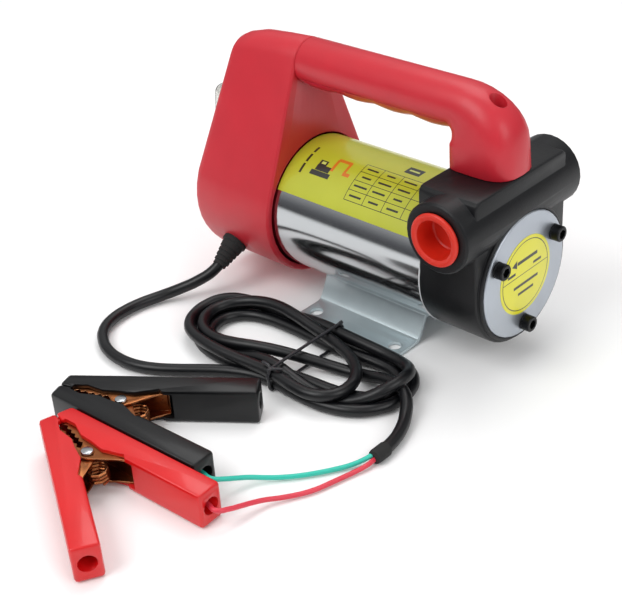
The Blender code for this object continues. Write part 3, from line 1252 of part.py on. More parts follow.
def battery_clip(name, finish, fixed_side, at, angle):
    """A clip lying on its side: its fixed half has the wire, the other turns on the rivet."""
    place = clip_place(at, angle)
    hinge = bpy.data.objects.new(f"{name}_hinge", None)
    bpy.context.scene.collection.objects.link(hinge)
    hinge.matrix_world = place
    clip_half(f"{name}_fixed", fixed_side, finish, place)
    clip_half(f"{name}_moving", -fixed_side, finish, Matrix.Identity(4), hinge)
    inside = CLIP_HEIGHT / 2 - CLIP_WALL
    head = inside + 1.2 * MM
    add_object(f"{name}_rivet", turned([
        (-head, 0), (-head, RIVET_RADIUS + 0.9 * MM), (-inside, RIVET_RADIUS + 1.2 * MM),
        (-inside, RIVET_RADIUS), (inside, RIVET_RADIUS), (inside, RIVET_RADIUS + 1.2 * MM),
        (head, RIVET_RADIUS + 0.9 * MM), (head, 0),
    ], 12), steel(), place)
    coil = []
    steps = round(SPRING_TURNS * 9)
    height = 2 * (inside - 2 * CLIP_SHEET - 4 * GAP) - 2 * SPRING_WIRE
    for step in range(steps + 1):
        turn = 2 * math.pi * SPRING_TURNS * step / steps
        coil.append(Vector((SPRING_RADIUS * math.cos(turn), SPRING_RADIUS * math.sin(turn),
                            height * (step / steps - 0.5))))
    spring = tube(f"{name}_spring", [place @ (point + Vector((9.5 * MM, 0, 0)))
                                     for point in coil], 2 * SPRING_WIRE, steel(), 1)
    return spring


def main():
    clear_scene()
    pump_head()
    cover()
    port_plugs()
    spin = bpy.data.objects.new("shaft_axis", None)
    bpy.context.scene.collection.objects.link(spin)
    spin.location = axis_point(0)
    vane_pump(spin)
    motor_shell()
    brush_gear()
    armature(spin)
    foot_bracket()
    rear_housing()
    handle()
    switch()
    lead_start = grommet()
    cables(lead_start)
    red = material("red_vinyl", (0.7, 0.03, 0.03), 0.35)
    black = material("black_vinyl", (0.02, 0.022, 0.024), 0.4)
    battery_clip("red_clip", red, *RED_CLIP)
    battery_clip("black_clip", black, *BLACK_CLIP)


main()
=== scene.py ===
"""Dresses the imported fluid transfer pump: its castings, mouldings, lead and battery clips, in a small studio."""

import json
import logging
import math
from dataclasses import dataclass, field
from enum import Enum

import bmesh
import bpy
import numpy as np
from bpy.types import Material, Modifier, Node, NodeSocket, NodeTree, Object
from mathutils import Matrix, Vector

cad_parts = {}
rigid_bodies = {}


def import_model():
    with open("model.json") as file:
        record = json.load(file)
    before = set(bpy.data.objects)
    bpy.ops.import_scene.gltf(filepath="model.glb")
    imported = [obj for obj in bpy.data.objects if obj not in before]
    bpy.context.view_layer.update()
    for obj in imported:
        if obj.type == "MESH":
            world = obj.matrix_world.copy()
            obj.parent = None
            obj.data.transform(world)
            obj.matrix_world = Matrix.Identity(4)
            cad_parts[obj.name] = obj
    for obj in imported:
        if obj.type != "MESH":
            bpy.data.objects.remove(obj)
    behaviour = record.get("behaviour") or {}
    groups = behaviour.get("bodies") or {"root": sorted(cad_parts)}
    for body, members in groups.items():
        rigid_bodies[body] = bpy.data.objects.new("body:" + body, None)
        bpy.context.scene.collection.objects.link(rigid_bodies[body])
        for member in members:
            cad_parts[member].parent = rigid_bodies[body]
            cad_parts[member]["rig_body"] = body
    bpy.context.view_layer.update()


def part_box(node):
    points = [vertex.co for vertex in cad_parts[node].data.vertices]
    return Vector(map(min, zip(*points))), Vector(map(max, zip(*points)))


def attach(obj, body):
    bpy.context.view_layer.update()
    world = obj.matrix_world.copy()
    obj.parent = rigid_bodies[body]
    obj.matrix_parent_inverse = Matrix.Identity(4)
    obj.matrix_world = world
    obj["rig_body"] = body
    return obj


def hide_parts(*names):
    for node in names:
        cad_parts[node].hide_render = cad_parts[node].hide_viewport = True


LOG = logging.getLogger("pump")
MM = 0.001
# the radius, in millimetres, that stands for a point on a turned piece's axis
POLE = 0.0004
# CAD points that lie closer together than this, in metres, are one
MERGE = 2e-6

# where the pump's faces and axes lie, in metres
AXIS_HEIGHT = 54 * MM
LIP_X = -39.05 * MM
HEAD_BACK_X = 68.95 * MM
PORT_X = 88.85 * MM
PORT_Z = 91.4 * MM
PLATE_FRONT_X = 108.45 * MM


class Body(str, Enum):
    """The bodies that pieces ride on."""

    PUMP = "pump"
    ROTOR = "rotor"
    ROCKER = "rocker"
    OUTLET_CAP = "outlet_cap"
    INLET_CAP = "inlet_cap"
    RED_CLIP_ARM = "red_clip_arm"
    BLACK_CLIP_ARM = "black_clip_arm"


class Axis(Enum):
    """The way a turned piece points, as the turn that takes +Z there."""

    PLUS_X = Matrix.Rotation(math.pi / 2, 4, "Y")
    MINUS_Y = Matrix.Rotation(math.pi / 2, 4, "X")
    PLUS_Y = Matrix.Rotation(-math.pi / 2, 4, "X")
    PLUS_Z = Matrix.Identity(4)


# ---------------------------------------------------------------- materials


def linear(colour: str) -> tuple[float, float, float, float]:
    """Turns an sRGB hex colour into linear values.

    Args:
        colour: Six hex digits, with or without a leading hash.

    Returns:
        Linear red, green and blue, with an alpha of one.
    """
    digits = colour.lstrip("#")
    parts = [int(digits[i : i + 2], 16) / 255 for i in (0, 2, 4)]
    values = [p / 12.92 if p <= 0.04045 else ((p + 0.055) / 1.055) ** 2.4 for p in parts]
    return (values[0], values[1], values[2], 1.0)


def add(tree: NodeTree, kind: str, sockets: dict | None = None, **settings) -> Node:
    """Adds a node, with its settings and with its inputs linked or set.

    Args:
        tree: The material's node tree.
        kind: The node's type name.
        sockets: Inputs by name or number, each a socket to link or a value.
        **settings: The node's own properties.

    Returns:
        The new node.
    """
    node = tree.nodes.new(kind)
    for key, value in settings.items():
        setattr(node, key, value)
    for key, value in (sockets or {}).items():
        if isinstance(value, NodeSocket):
            tree.links.new(value, node.inputs[key])
        else:
            node.inputs[key].default_value = value
    return node


@dataclass(frozen=True)
class Finish:
    """A surface: its colour and gloss, the grain that its making leaves, and how its edges catch light."""

    name: str
    colour: str
    roughness: float
    metallic: float = 0.0
    ior: float = 1.5
    coat: float = 0.0
    specular: float = 0.5
    grain_mm: float = 0.8
    grain_depth_mm: float = 0.02
    mottle_mm: float = 18.0
    mottle: float = 0.08
    edge_mm: float = 0.35
    worn: str = ""
    wear: float = 0.0

    def pigment(self, tree: NodeTree, place: NodeSocket) -> NodeSocket:
        """Gives the colour, a little uneven over the mottle's size.

        Args:
            tree: The material's node tree.
            place: The object coordinates, in metres.

        Returns:
            The colour.
        """
        cloud = add(tree, "ShaderNodeTexNoise", {"Vector": place, "Scale": 1 / (self.mottle_mm * MM), "Detail": 3.0})
        base = Vector(linear(self.colour)[:3])
        dark, light = base * (1 - self.mottle), base * (1 + self.mottle)
        shades = {0: cloud.outputs["Fac"], 6: (*dark, 1), 7: (*light, 1)}
        return add(tree, "ShaderNodeMix", shades, data_type="RGBA").outputs[2]

    def relief(self, tree: NodeTree, place: NodeSocket) -> NodeSocket:
        """Gives the height of the fine grain, from 0 to 1."""
        scale = 1 / (self.grain_mm * MM)
        return add(tree, "ShaderNodeTexNoise", {"Vector": place, "Scale": scale, "Detail": 4.0}).outputs["Fac"]

    def gloss(self, tree: NodeTree, place: NodeSocket) -> NodeSocket:
        """Gives the roughness, which handling leaves uneven.

        Args:
            tree: The material's node tree.
            place: The object coordinates, in metres.

        Returns:
            The roughness.
        """
        cloud = add(tree, "ShaderNodeTexNoise", {"Vector": place, "Scale": 70.0, "Detail": 5.0})
        low, high = self.roughness * 0.82, min(1.0, self.roughness * 1.2)
        spread = add(tree, "ShaderNodeMapRange", {"Value": cloud.outputs["Fac"], "To Min": low, "To Max": high})
        return spread.outputs["Result"]

    def shader(self, shader: Node) -> None:
        """Sets what is the same all over the surface on the shader itself.

        Args:
            shader: The surface's shader.
        """
        shader.inputs["Metallic"].default_value = self.metallic
        shader.inputs["IOR"].default_value = self.ior
        shader.inputs["Coat Weight"].default_value = self.coat
        shader.inputs["Specular IOR Level"].default_value = self.specular
        shader.inputs["Coat Roughness"].default_value = 0.08

    def make(self) -> Material:
        """Builds the material once and hands the same one out after that.

        Returns:
            The material, named for what the surface is.
        """
        if self.name in bpy.data.materials:
            return bpy.data.materials[self.name]
        material = bpy.data.materials.new(self.name)
        material.use_nodes = True
        tree = material.node_tree
        tree.nodes.clear()
        shader = add(tree, "ShaderNodeBsdfPrincipled")
        add(tree, "ShaderNodeOutputMaterial", {"Surface": shader.outputs["BSDF"]})
        place = add(tree, "ShaderNodeTexCoord").outputs["Object"]
        softened = add(tree, "ShaderNodeBevel", {"Radius": self.edge_mm * MM}, samples=4)
        colour = self.pigment(tree, place)
        if self.wear:
            facing = add(tree, "ShaderNodeNewGeometry").outputs["Normal"]
            turned = add(tree, "ShaderNodeVectorMath", {0: facing, 1: softened.outputs[0]}, operation="DOT_PRODUCT")
            edge = add(
                tree,
                "ShaderNodeMapRange",
                {"Value": turned.outputs["Value"], "From Min": 0.99, "From Max": 0.8, "To Max": self.wear},
            )
            rubbed = {0: edge.outputs["Result"], 6: colour, 7: linear(self.worn)}
            colour = add(tree, "ShaderNodeMix", rubbed, data_type="RGBA").outputs[2]
        tree.links.new(colour, shader.inputs["Base Color"])
        tree.links.new(self.gloss(tree, place), shader.inputs["Roughness"])
        bump = add(
            tree,
            "ShaderNodeBump",
            {
                "Height": self.relief(tree, place),
                "Distance": self.grain_depth_mm * MM,
                "Strength": 1.0,
                "Normal": softened.outputs[0],
            },
        )
        tree.links.new(bump.outputs["Normal"], shader.inputs["Normal"])
        self.shader(shader)
        return material


@dataclass(frozen=True)
class DrawnOut(Finish):
    """A metal whose grain runs out into lines, along the axes that the stretch scales down."""

    stretch: tuple = (1.0, 1.0, 1.0)
    line_detail: float = 2.0

    def relief(self, tree: NodeTree, place: NodeSocket) -> NodeSocket:
        """Draws the grain out into lines.

        Args:
            tree: The material's node tree.
            place: The object coordinates, in metres.

        Returns:
            The grain's height.
        """
        lines = add(tree, "ShaderNodeMapping", {"Vector": place, "Scale": self.stretch}).outputs[0]
        scale = 1 / (self.grain_mm * MM)
        noise = add(tree, "ShaderNodeTexNoise", {"Vector": lines, "Scale": scale, "Detail": self.line_detail})
        return noise.outputs["Fac"]


@dataclass(frozen=True)
class PolishedTube(DrawnOut):
    """Polished stainless: a mirror with the faint lines that the polishing belt leaves round the tube."""

    stretch: tuple = (1.0, 0.04, 0.04)


@dataclass(frozen=True)
class TurnedFace(Finish):
    """A face cut on a lathe: fine rings about the pump's shaft, drawn at 0.7 mm where the tool leaves 0.1 mm."""

    pitch_mm: float = 0.7

    def relief(self, tree: NodeTree, place: NodeSocket) -> NodeSocket:
        """Gives rings about the shaft's axis.

        Args:
            tree: The material's node tree.
            place: The object coordinates, in metres.

        Returns:
            The rings' height.
        """
        centred = add(tree, "ShaderNodeMapping", {"Vector": place, "Location": (0, 0, -AXIS_HEIGHT)}).outputs[0]
        wave = add(
            tree,
            "ShaderNodeTexWave",
            {"Vector": centred, "Scale": 1 / (self.pitch_mm * MM) / math.pi, "Distortion": 0.4, "Detail": 2.0},
            wave_type="RINGS",
            rings_direction="X",
        )
        return wave.outputs["Fac"]


@dataclass(frozen=True)
class ZincPlate(DrawnOut):
    """Bright zinc plate on pressed sheet: soft blue-grey patches, and lines along the pump from rolling."""

    stretch: tuple = (0.08, 1.0, 1.0)
    line_detail: float = 5.0


@dataclass(frozen=True)
class ClearVinyl(Finish):
    """Clear soft vinyl: what lies under it shows, with a wet gloss and a slight haze."""

    def shader(self, shader: Node) -> None:
        """Lets light through the skin."""
        super().shader(shader)
        shader.inputs["Transmission Weight"].default_value = 0.93


@dataclass(frozen=True)
class Printed(Finish):
    """A printed vinyl sticker. Its ink lies in rectangles, lines and rings on two of the piece's own axes."""

    ink: str = "#23241C"

    def bar(self, tree: NodeTree, across: object, up: object, block: tuple) -> NodeSocket:
        """Gives 1 inside a rectangle and 0 outside it.

        Args:
            tree: The material's node tree.
            across: The socket of the first coordinate.
            up: The socket of the second coordinate.
            block: The rectangle's centre and half sizes, in millimetres.

        Returns:
            The socket that holds the rectangle.
        """
        x, y, half_x, half_y = (v * MM for v in block)
        inside = [
            add(tree, "ShaderNodeMath", {0: value, 1: middle, 2: half}, operation="COMPARE").outputs[0]
            for value, middle, half in ((across, x, half_x), (up, y, half_y))
        ]
        return add(tree, "ShaderNodeMath", {0: inside[0], 1: inside[1]}, operation="MINIMUM").outputs[0]

    def union(self, tree: NodeTree, masks: list) -> NodeSocket:
        """Joins several masks into one.

        Args:
            tree: The material's node tree.
            masks: The masks, each 1 where its ink lies.

        Returns:
            The mask of all the ink.
        """
        total = masks[0]
        for mask in masks[1:]:
            total = add(tree, "ShaderNodeMath", {0: total, 1: mask}, operation="MAXIMUM").outputs[0]
        return total

    def artwork(self, tree: NodeTree, place: NodeSocket) -> list:
        """Lists each ink's mask with its colour."""
        return []

    def pigment(self, tree: NodeTree, place: NodeSocket) -> NodeSocket:
        """Lays the ink over the sticker's ground colour.

        Args:
            tree: The material's node tree.
            place: The object coordinates, in metres.

        Returns:
            The colour of the ground and the ink.
        """
        colour = super().pigment(tree, place)
        for mask, ink in self.artwork(tree, place):
            inked = {0: mask, 6: colour, 7: linear(ink)}
            colour = add(tree, "ShaderNodeMix", inked, data_type="RGBA").outputs[2]
        return colour


@dataclass(frozen=True)
class FlowSticker(Printed):
    """The round sticker on the pump's face: a ring, a divider, an arrow towards the outlet, and plain bars."""

    ring_mm: float = 20.4
    arrow_up_mm: float = 9.5
    arrow_tip_mm: float = -12.5
    arrow_length_mm: float = 4.6
    arrow_slope: float = 0.55

    def flat(self, tree: NodeTree, place: NodeSocket) -> tuple:
        """Measures across the face towards the outlet, and up from the shaft.

        Args:
            tree: The material's node tree.
            place: The object coordinates, in metres.

        Returns:
            Both measures, in metres, as a pair of sockets.
        """
        centred = add(tree, "ShaderNodeMapping", {"Vector": place, "Location": (0, 0, -AXIS_HEIGHT)}).outputs[0]
        parts = add(tree, "ShaderNodeSeparateXYZ", {"Vector": centred})
        return parts.outputs["Y"], parts.outputs["Z"]

    def artwork(self, tree: NodeTree, place: NodeSocket) -> list:
        """Draws the ring, divider, arrow and bars.

        Args:
            tree: The material's node tree.
            place: The object coordinates, in metres.

        Returns:
            One mask, with its ink.
        """
        across, up = self.flat(tree, place)
        squares = [
            add(tree, "ShaderNodeMath", {0: value, 1: value}, operation="MULTIPLY").outputs[0]
            for value in (across, up)
        ]
        total = add(tree, "ShaderNodeMath", {0: squares[0], 1: squares[1]}, operation="ADD").outputs[0]
        radius = add(tree, "ShaderNodeMath", {0: total}, operation="SQRT").outputs[0]
        ring = add(
            tree, "ShaderNodeMath", {0: radius, 1: self.ring_mm * MM, 2: 0.25 * MM}, operation="COMPARE"
        ).outputs[0]
        blocks = [
            self.bar(tree, across, up, block)
            for block in (
                (0, 1.5, 20.2, 0.22),
                (1.5, 9.5, 9.0, 1.0),
                (-12.5, 4.4, 3.4, 0.8),
                (10.5, 4.4, 3.6, 0.8),
                (0.5, -4.6, 11.0, 0.85),
                (0.5, -9.6, 7.0, 0.8),
            )
        ]
        # the arrow's head: a wedge that opens away from the outlet
        rise = add(tree, "ShaderNodeMath", {0: up, 1: self.arrow_up_mm * MM}, operation="SUBTRACT").outputs[0]
        rise = add(tree, "ShaderNodeMath", {0: rise}, operation="ABSOLUTE").outputs[0]
        run = add(tree, "ShaderNodeMath", {0: across, 1: -self.arrow_tip_mm * MM}, operation="ADD").outputs[0]
        wedge = add(tree, "ShaderNodeMath", {0: run, 1: self.arrow_slope}, operation="MULTIPLY").outputs[0]
        inside = add(tree, "ShaderNodeMath", {0: rise, 1: wedge}, operation="LESS_THAN").outputs[0]
        short = add(tree, "ShaderNodeMath", {0: run, 1: self.arrow_length_mm * MM}, operation="LESS_THAN").outputs[0]
        head = add(tree, "ShaderNodeMath", {0: inside, 1: short}, operation="MINIMUM").outputs[0]
        return [(self.union(tree, [ring, head, *blocks]), self.ink)]


@dataclass(frozen=True)
class RatingLabel(Printed):
    """The label wrapped on the motor: a drawn digger in two inks, and an empty table with plain bars in it."""

    radius_mm: float = 40.2

    def flat(self, tree: NodeTree, place: NodeSocket) -> tuple:
        """Measures along the pump, and round the tube up from its near side.

        Args:
            tree: The material's node tree.
            place: The object coordinates, in metres.

        Returns:
            Both measures, in metres, as a pair of sockets.
        """
        centred = add(tree, "ShaderNodeMapping", {"Vector": place, "Location": (0, 0, -AXIS_HEIGHT)}).outputs[0]
        parts = add(tree, "ShaderNodeSeparateXYZ", {"Vector": centred})
        near = add(tree, "ShaderNodeMath", {0: parts.outputs["Y"], 1: -1.0}, operation="MULTIPLY").outputs[0]
        angle = add(tree, "ShaderNodeMath", {0: parts.outputs["Z"], 1: near}, operation="ARCTAN2").outputs[0]
        arc = add(tree, "ShaderNodeMath", {0: angle, 1: self.radius_mm * MM}, operation="MULTIPLY").outputs[0]
        return parts.outputs["X"], arc

    def artwork(self, tree: NodeTree, place: NodeSocket) -> list:
        """Draws the table at the pump's end of the label, and the digger near the housing.

        Args:
            tree: The material's node tree.
            place: The object coordinates, in metres.

        Returns:
            Each ink's mask with its colour.
        """
        across, up = self.flat(tree, place)

        def drawn(blocks: list | tuple) -> NodeSocket:
            """Joins rectangles into one mask."""
            return self.union(tree, [self.bar(tree, across, up, block) for block in blocks])

        widths = ((4.2, 3.4, 4.0), (4.6, 4.4, 3.0), (3.2, 4.6, 4.2), (4.0, 3.0, 4.4))
        entries = [
            (column, row, half, 0.6)
            for row, halves in zip((32.5, 38.8, 45.1, 51.4), widths)
            for column, half in zip((14.5, 27.5, 41.0), halves)
        ]
        rules = [(34, row, 26, 0.2) for row in (29.4, 35.7, 42.0, 48.3, 54.6)]
        rules += [(column, 42.0, 0.2, 12.6) for column in (8.0, 21.0, 34.5, 48.0)]
        badges = [(36.0, 61.5, 5.2, 3.4), (-29.0, 46.0, 0.8, 3.0), (-29.0, 53.0, 0.8, 2.4), (-29.0, 38.5, 0.8, 3.2)]
        table = drawn(rules + entries + badges)
        tracks = drawn(((-15.5, 38.2, 7.0, 1.6), (-15.5, 42.0, 5.0, 2.0), (-17.5, 45.6, 2.8, 1.8)))
        arm = drawn(
            ((-9.5, 46.5, 1.0, 4.4), (-5.2, 51.0, 4.8, 1.1), (-0.8, 47.0, 0.9, 4.4), (0.9, 42.8, 2.4, 1.2))
        )
        window = drawn(((36.0, 61.5, 3.4, 0.7), (-17.4, 45.7, 1.5, 0.9)))
        return [(table, self.ink), (tracks, "#2B2D2A"), (arm, "#D4761F"), (window, "#C9D36A")]


@dataclass(frozen=True)
class Palette:
    """Every finish on the pump, by what it is made of."""

    # red ABS moulded in a fine satin tool: strong pigment, broad soft highlights
    shell_red: Finish = Finish("red_abs_satin", "#C4202F", 0.42, coat=0.05, grain_mm=0.9, grain_depth_mm=0.016)
    # the finger insert is the same ABS with a brighter gate polish
    insert_red: Finish = Finish("red_abs_insert", "#C8233A", 0.3, coat=0.2, grain_mm=1.2, grain_depth_mm=0.015)
    # zinc die casting under black powder coat: a fine orange peel, grey where edges rub
    cast_black: Finish = Finish(
        "black_powder_coated_casting",
        "#0A0B0E",
        0.42,
        specular=0.32,
        grain_mm=1.5,
        grain_depth_mm=0.05,
        mottle=0.15,
        edge_mm=0.6,
        worn="#4A4D53",
        wear=0.35,
    )
    # aluminium face turned and clear lacquered: pale, with rings that spread the highlight
    plate: Finish = TurnedFace("turned_aluminium", "#B4BAC2", 0.38, metallic=0.85, grain_depth_mm=0.006)
    # black oxide on alloy steel: nearly black, a dull metal sheen on the chamfers
    screw: Finish = Finish(
        "black_oxide_steel", "#17181A", 0.36, metallic=0.7, edge_mm=0.25, worn="#6A6C70", wear=0.4
    )
    # polished stainless steel: a mirror, very slightly stretched by belt lines
    tube: Finish = PolishedTube(
        "polished_stainless", "#BBBEC0", 0.12, metallic=1.0, grain_mm=0.4, grain_depth_mm=0.0015, mottle=0.02
    )
    # ground steel of shafts, bearings and rivets
    steel: Finish = Finish("ground_steel", "#B9BCBF", 0.25, metallic=1.0, grain_depth_mm=0.006)
    # bright zinc plate on pressed mild steel: blue-grey, soft patches, drawn lines
    zinc: Finish = ZincPlate(
        "bright_zinc_plate", "#CBD8DC", 0.32, metallic=0.6, grain_mm=0.6, grain_depth_mm=0.01, mottle=0.12
    )
    # injection-moulded polythene: waxy orange red that scatters a little
    plug: Finish = Finish("red_polythene", "#D42A17", 0.4, grain_mm=1.1, grain_depth_mm=0.012)
    # black nylon, satin
    nylon: Finish = Finish("black_nylon", "#0C0D0F", 0.45, specular=0.35, grain_mm=0.7, grain_depth_mm=0.02)
    # black rubber with a dusty bloom
    rubber: Finish = Finish("black_rubber", "#17181A", 0.62, grain_mm=0.5, grain_depth_mm=0.03, mottle=0.2)
    # stamped copper sheet: warm, slightly tarnished, with bright worn edges
    copper: Finish = Finish(
        "stamped_copper", "#A8683F", 0.3, metallic=1.0, mottle=0.25, mottle_mm=4, worn="#E2AE86", wear=0.6
    )
    ferrite: Finish = Finish("sintered_ferrite", "#3A3A3C", 0.6, grain_mm=0.6, grain_depth_mm=0.03)
    laminations: Finish = Finish("stacked_steel_sheet", "#6A6C6E", 0.45, metallic=0.8)
    board: Finish = Finish("phenolic_board", "#6B3A1E", 0.5)
    # clear soft vinyl boot over the rocker
    vinyl: Finish = ClearVinyl("clear_soft_vinyl", "#F2F2EE", 0.14, ior=1.53, grain_depth_mm=0.004)
    # polyvinyl chloride jacket, satin with a faint extrusion grain
    jacket: Finish = Finish(
        "black_cable_jacket", "#0B0C0F", 0.36, specular=0.4, grain_mm=1.6, grain_depth_mm=0.02, mottle=0.15
    )
    green_wire: Finish = Finish("teal_wire_insulation", "#2FC4AE", 0.35, grain_depth_mm=0.01)
    red_wire: Finish = Finish("red_wire_insulation", "#D9384A", 0.35, grain_depth_mm=0.01)
    # dipped vinyl of the clip handles: glossy, soft edged
    clip_red: Finish = Finish(
        "red_dipped_vinyl", "#D40E12", 0.34, coat=0.25, grain_mm=1.4, grain_depth_mm=0.02, edge_mm=0.5
    )
    clip_black: Finish = Finish(
        "black_dipped_vinyl", "#07080A", 0.34, coat=0.05, specular=0.35, grain_mm=1.4, grain_depth_mm=0.02, edge_mm=0.5
    )
    # yellow vinyl stickers, clear coated
    flow: Finish = FlowSticker("flow_sticker_vinyl", "#E2DC2C", 0.35, coat=0.3, grain_depth_mm=0.004)
    rating: Finish = RatingLabel("rating_label_vinyl", "#B9BE30", 0.3, coat=0.35, grain_depth_mm=0.004)


PALETTE = Palette()

# ---------------------------------------------------------------- modelling


class Bench:
    """Models pieces with Blender's own operators, and leaves each at the origin with its place in its mesh."""

    @staticmethod
    def clear_selection() -> None:
        """Deselects everything, because an operator acts on all that is selected."""
        for thing in bpy.context.view_layer.objects:
            thing.select_set(False)

    @classmethod
    def take(cls, thing: Object) -> None:
        """Selects one object alone and makes it active.

        Args:
            thing: The object.
        """
        cls.clear_selection()
        thing.select_set(True)
        bpy.context.view_layer.objects.active = thing

    @classmethod
    def settle(cls, thing: Object, name: str, finish: Finish, body: Body) -> None:
        """Names, places and dresses a finished piece.

        Args:
            thing: The modelled object.
            name: The piece's name.
            finish: Its material.
            body: The body that it rides on.
        """
        cls.take(thing)
        bpy.ops.object.transform_apply(location=True, rotation=True, scale=True)
        thing.name = name
        thing.data.name = name
        thing.data.materials.clear()
        thing.data.materials.append(finish.make())
        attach(thing, body.value)
        LOG.info("%s: %d faces", name, len(thing.data.polygons))

    @classmethod
    def turned(cls, profile: list, steps: int, place: Vector, axis: Axis, closed: bool = True) -> Object:
        """Turns a profile about an axis: a ring of edges is extruded and resized from station to station.

        Args:
            profile: Stations as (distance along the axis, radius), in millimetres.
            steps: How many sides the turned piece has.
            place: Where the profile's zero stands.
            axis: The way that the profile's distances run.
            closed: Whether the last ring joins the first, as in a tube. The profile otherwise ends on the axis.

        Returns:
            The turned object, not yet placed in its mesh.
        """
        cls.clear_selection()
        profile = [(z, max(r, POLE)) for z, r in profile]
        z, r = profile[0]
        bpy.ops.mesh.primitive_circle_add(vertices=steps, radius=r * MM, location=(0, 0, z * MM))
        thing = bpy.context.active_object
        bpy.ops.object.transform_apply(location=True)
        bpy.ops.object.mode_set(mode="EDIT")
        bpy.ops.mesh.select_mode(type="EDGE")
        bpy.ops.mesh.select_all(action="SELECT")
        stations = profile[1:] + ([profile[0]] if closed else [])
        for next_z, next_r in stations:
            bpy.ops.mesh.extrude_region_move(TRANSFORM_OT_translate={"value": (0, 0, (next_z - z) * MM)})
            share = next_r / r  # a ring at POLE is small enough for its points to merge into one
            if abs(share - 1) > 1e-9:
                bpy.ops.transform.resize(value=(share, share, 1), center_override=(0, 0, next_z * MM))
            z, r = next_z, next_r
        bpy.ops.mesh.select_all(action="SELECT")
        bpy.ops.mesh.remove_doubles(threshold=1e-6)
        bpy.ops.mesh.normals_make_consistent(inside=False)
        bpy.ops.object.mode_set(mode="OBJECT")
        thing.matrix_world = Matrix.Translation(place) @ axis.value
        return thing

    @staticmethod
    def rounding(thing: Object, width_mm: float, angle: float) -> Modifier:
        """Adds a bevel, two faces across, on the sharp edges.

        Args:
            thing: The object to round.
            width_mm: The bevel's width.
            angle: The least turn, in degrees, that counts as an edge.

        Returns:
            The modifier, not yet applied.
        """
        bevel = thing.modifiers.new("rounding", "BEVEL")
        bevel.width, bevel.segments = width_mm * MM, 2
        bevel.limit_method, bevel.angle_limit = "ANGLE", math.radians(angle)
        return bevel

    @classmethod
    def soften(cls, thing: Object, width_mm: float, angle: float = 28) -> None:
        """Rounds the sharp edges with a bevel that is applied, and smooths what is left.

        Args:
            thing: The object to round.
            width_mm: The bevel's width, or nothing.
            angle: The least turn, in degrees, that counts as an edge.
        """
        cls.take(thing)
        if width_mm:
            bpy.ops.object.modifier_apply(modifier=cls.rounding(thing, width_mm, angle).name)
        bpy.ops.object.shade_smooth_by_angle(angle=math.radians(angle))

    @classmethod
    def copy_node(cls, node: str, name: str, finish: Finish, width_mm: float) -> Object:
        """Copies a CAD node, merges it, rounds its edges and lets the copy stand for it.

        Args:
            node: The CAD node's name.
            name: The new piece's name.
            finish: Its material.
            width_mm: The rounding on its edges.

        Returns:
            The new piece.
        """
        source = bpy.data.objects[node]
        body = Body(source["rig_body"])
        mesh = source.data.copy()
        thing = bpy.data.objects.new(name, mesh)
        bpy.context.scene.collection.objects.link(thing)
        cls.take(thing)
        bpy.ops.object.mode_set(mode="EDIT")
        bpy.ops.mesh.select_all(action="SELECT")
        bpy.ops.mesh.remove_doubles(threshold=MERGE)
        bpy.ops.mesh.tris_convert_to_quads(face_threshold=0.02, shape_threshold=0.7)
        bpy.ops.object.mode_set(mode="OBJECT")
        cls.soften(thing, width_mm)
        cls.settle(thing, name, finish, body)
        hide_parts(node)
        return thing

    @classmethod
    def dress_node(cls, node: str, finish: Finish, width_mm: float, slot: str) -> None:
        """Keeps a CAD node where it is, and gives it a finish and rounded edges through modifiers.

        Args:
            node: The CAD node's name.
            finish: Its material.
            width_mm: The rounding on its edges, or nothing.
            slot: The record's material slot; not used.
        """
        thing = bpy.data.objects[node]
        weld = thing.modifiers.new("weld", "WELD")
        weld.merge_threshold = MERGE
        if width_mm:
            cls.rounding(thing, width_mm, 30).harden_normals = True
            thing.data.polygons.foreach_set("use_smooth", [True] * len(thing.data.polygons))
        thing.data.materials.clear()
        thing.data.materials.append(finish.make())
        LOG.info("%s dressed", node)


# ---------------------------------------------------------------- cords


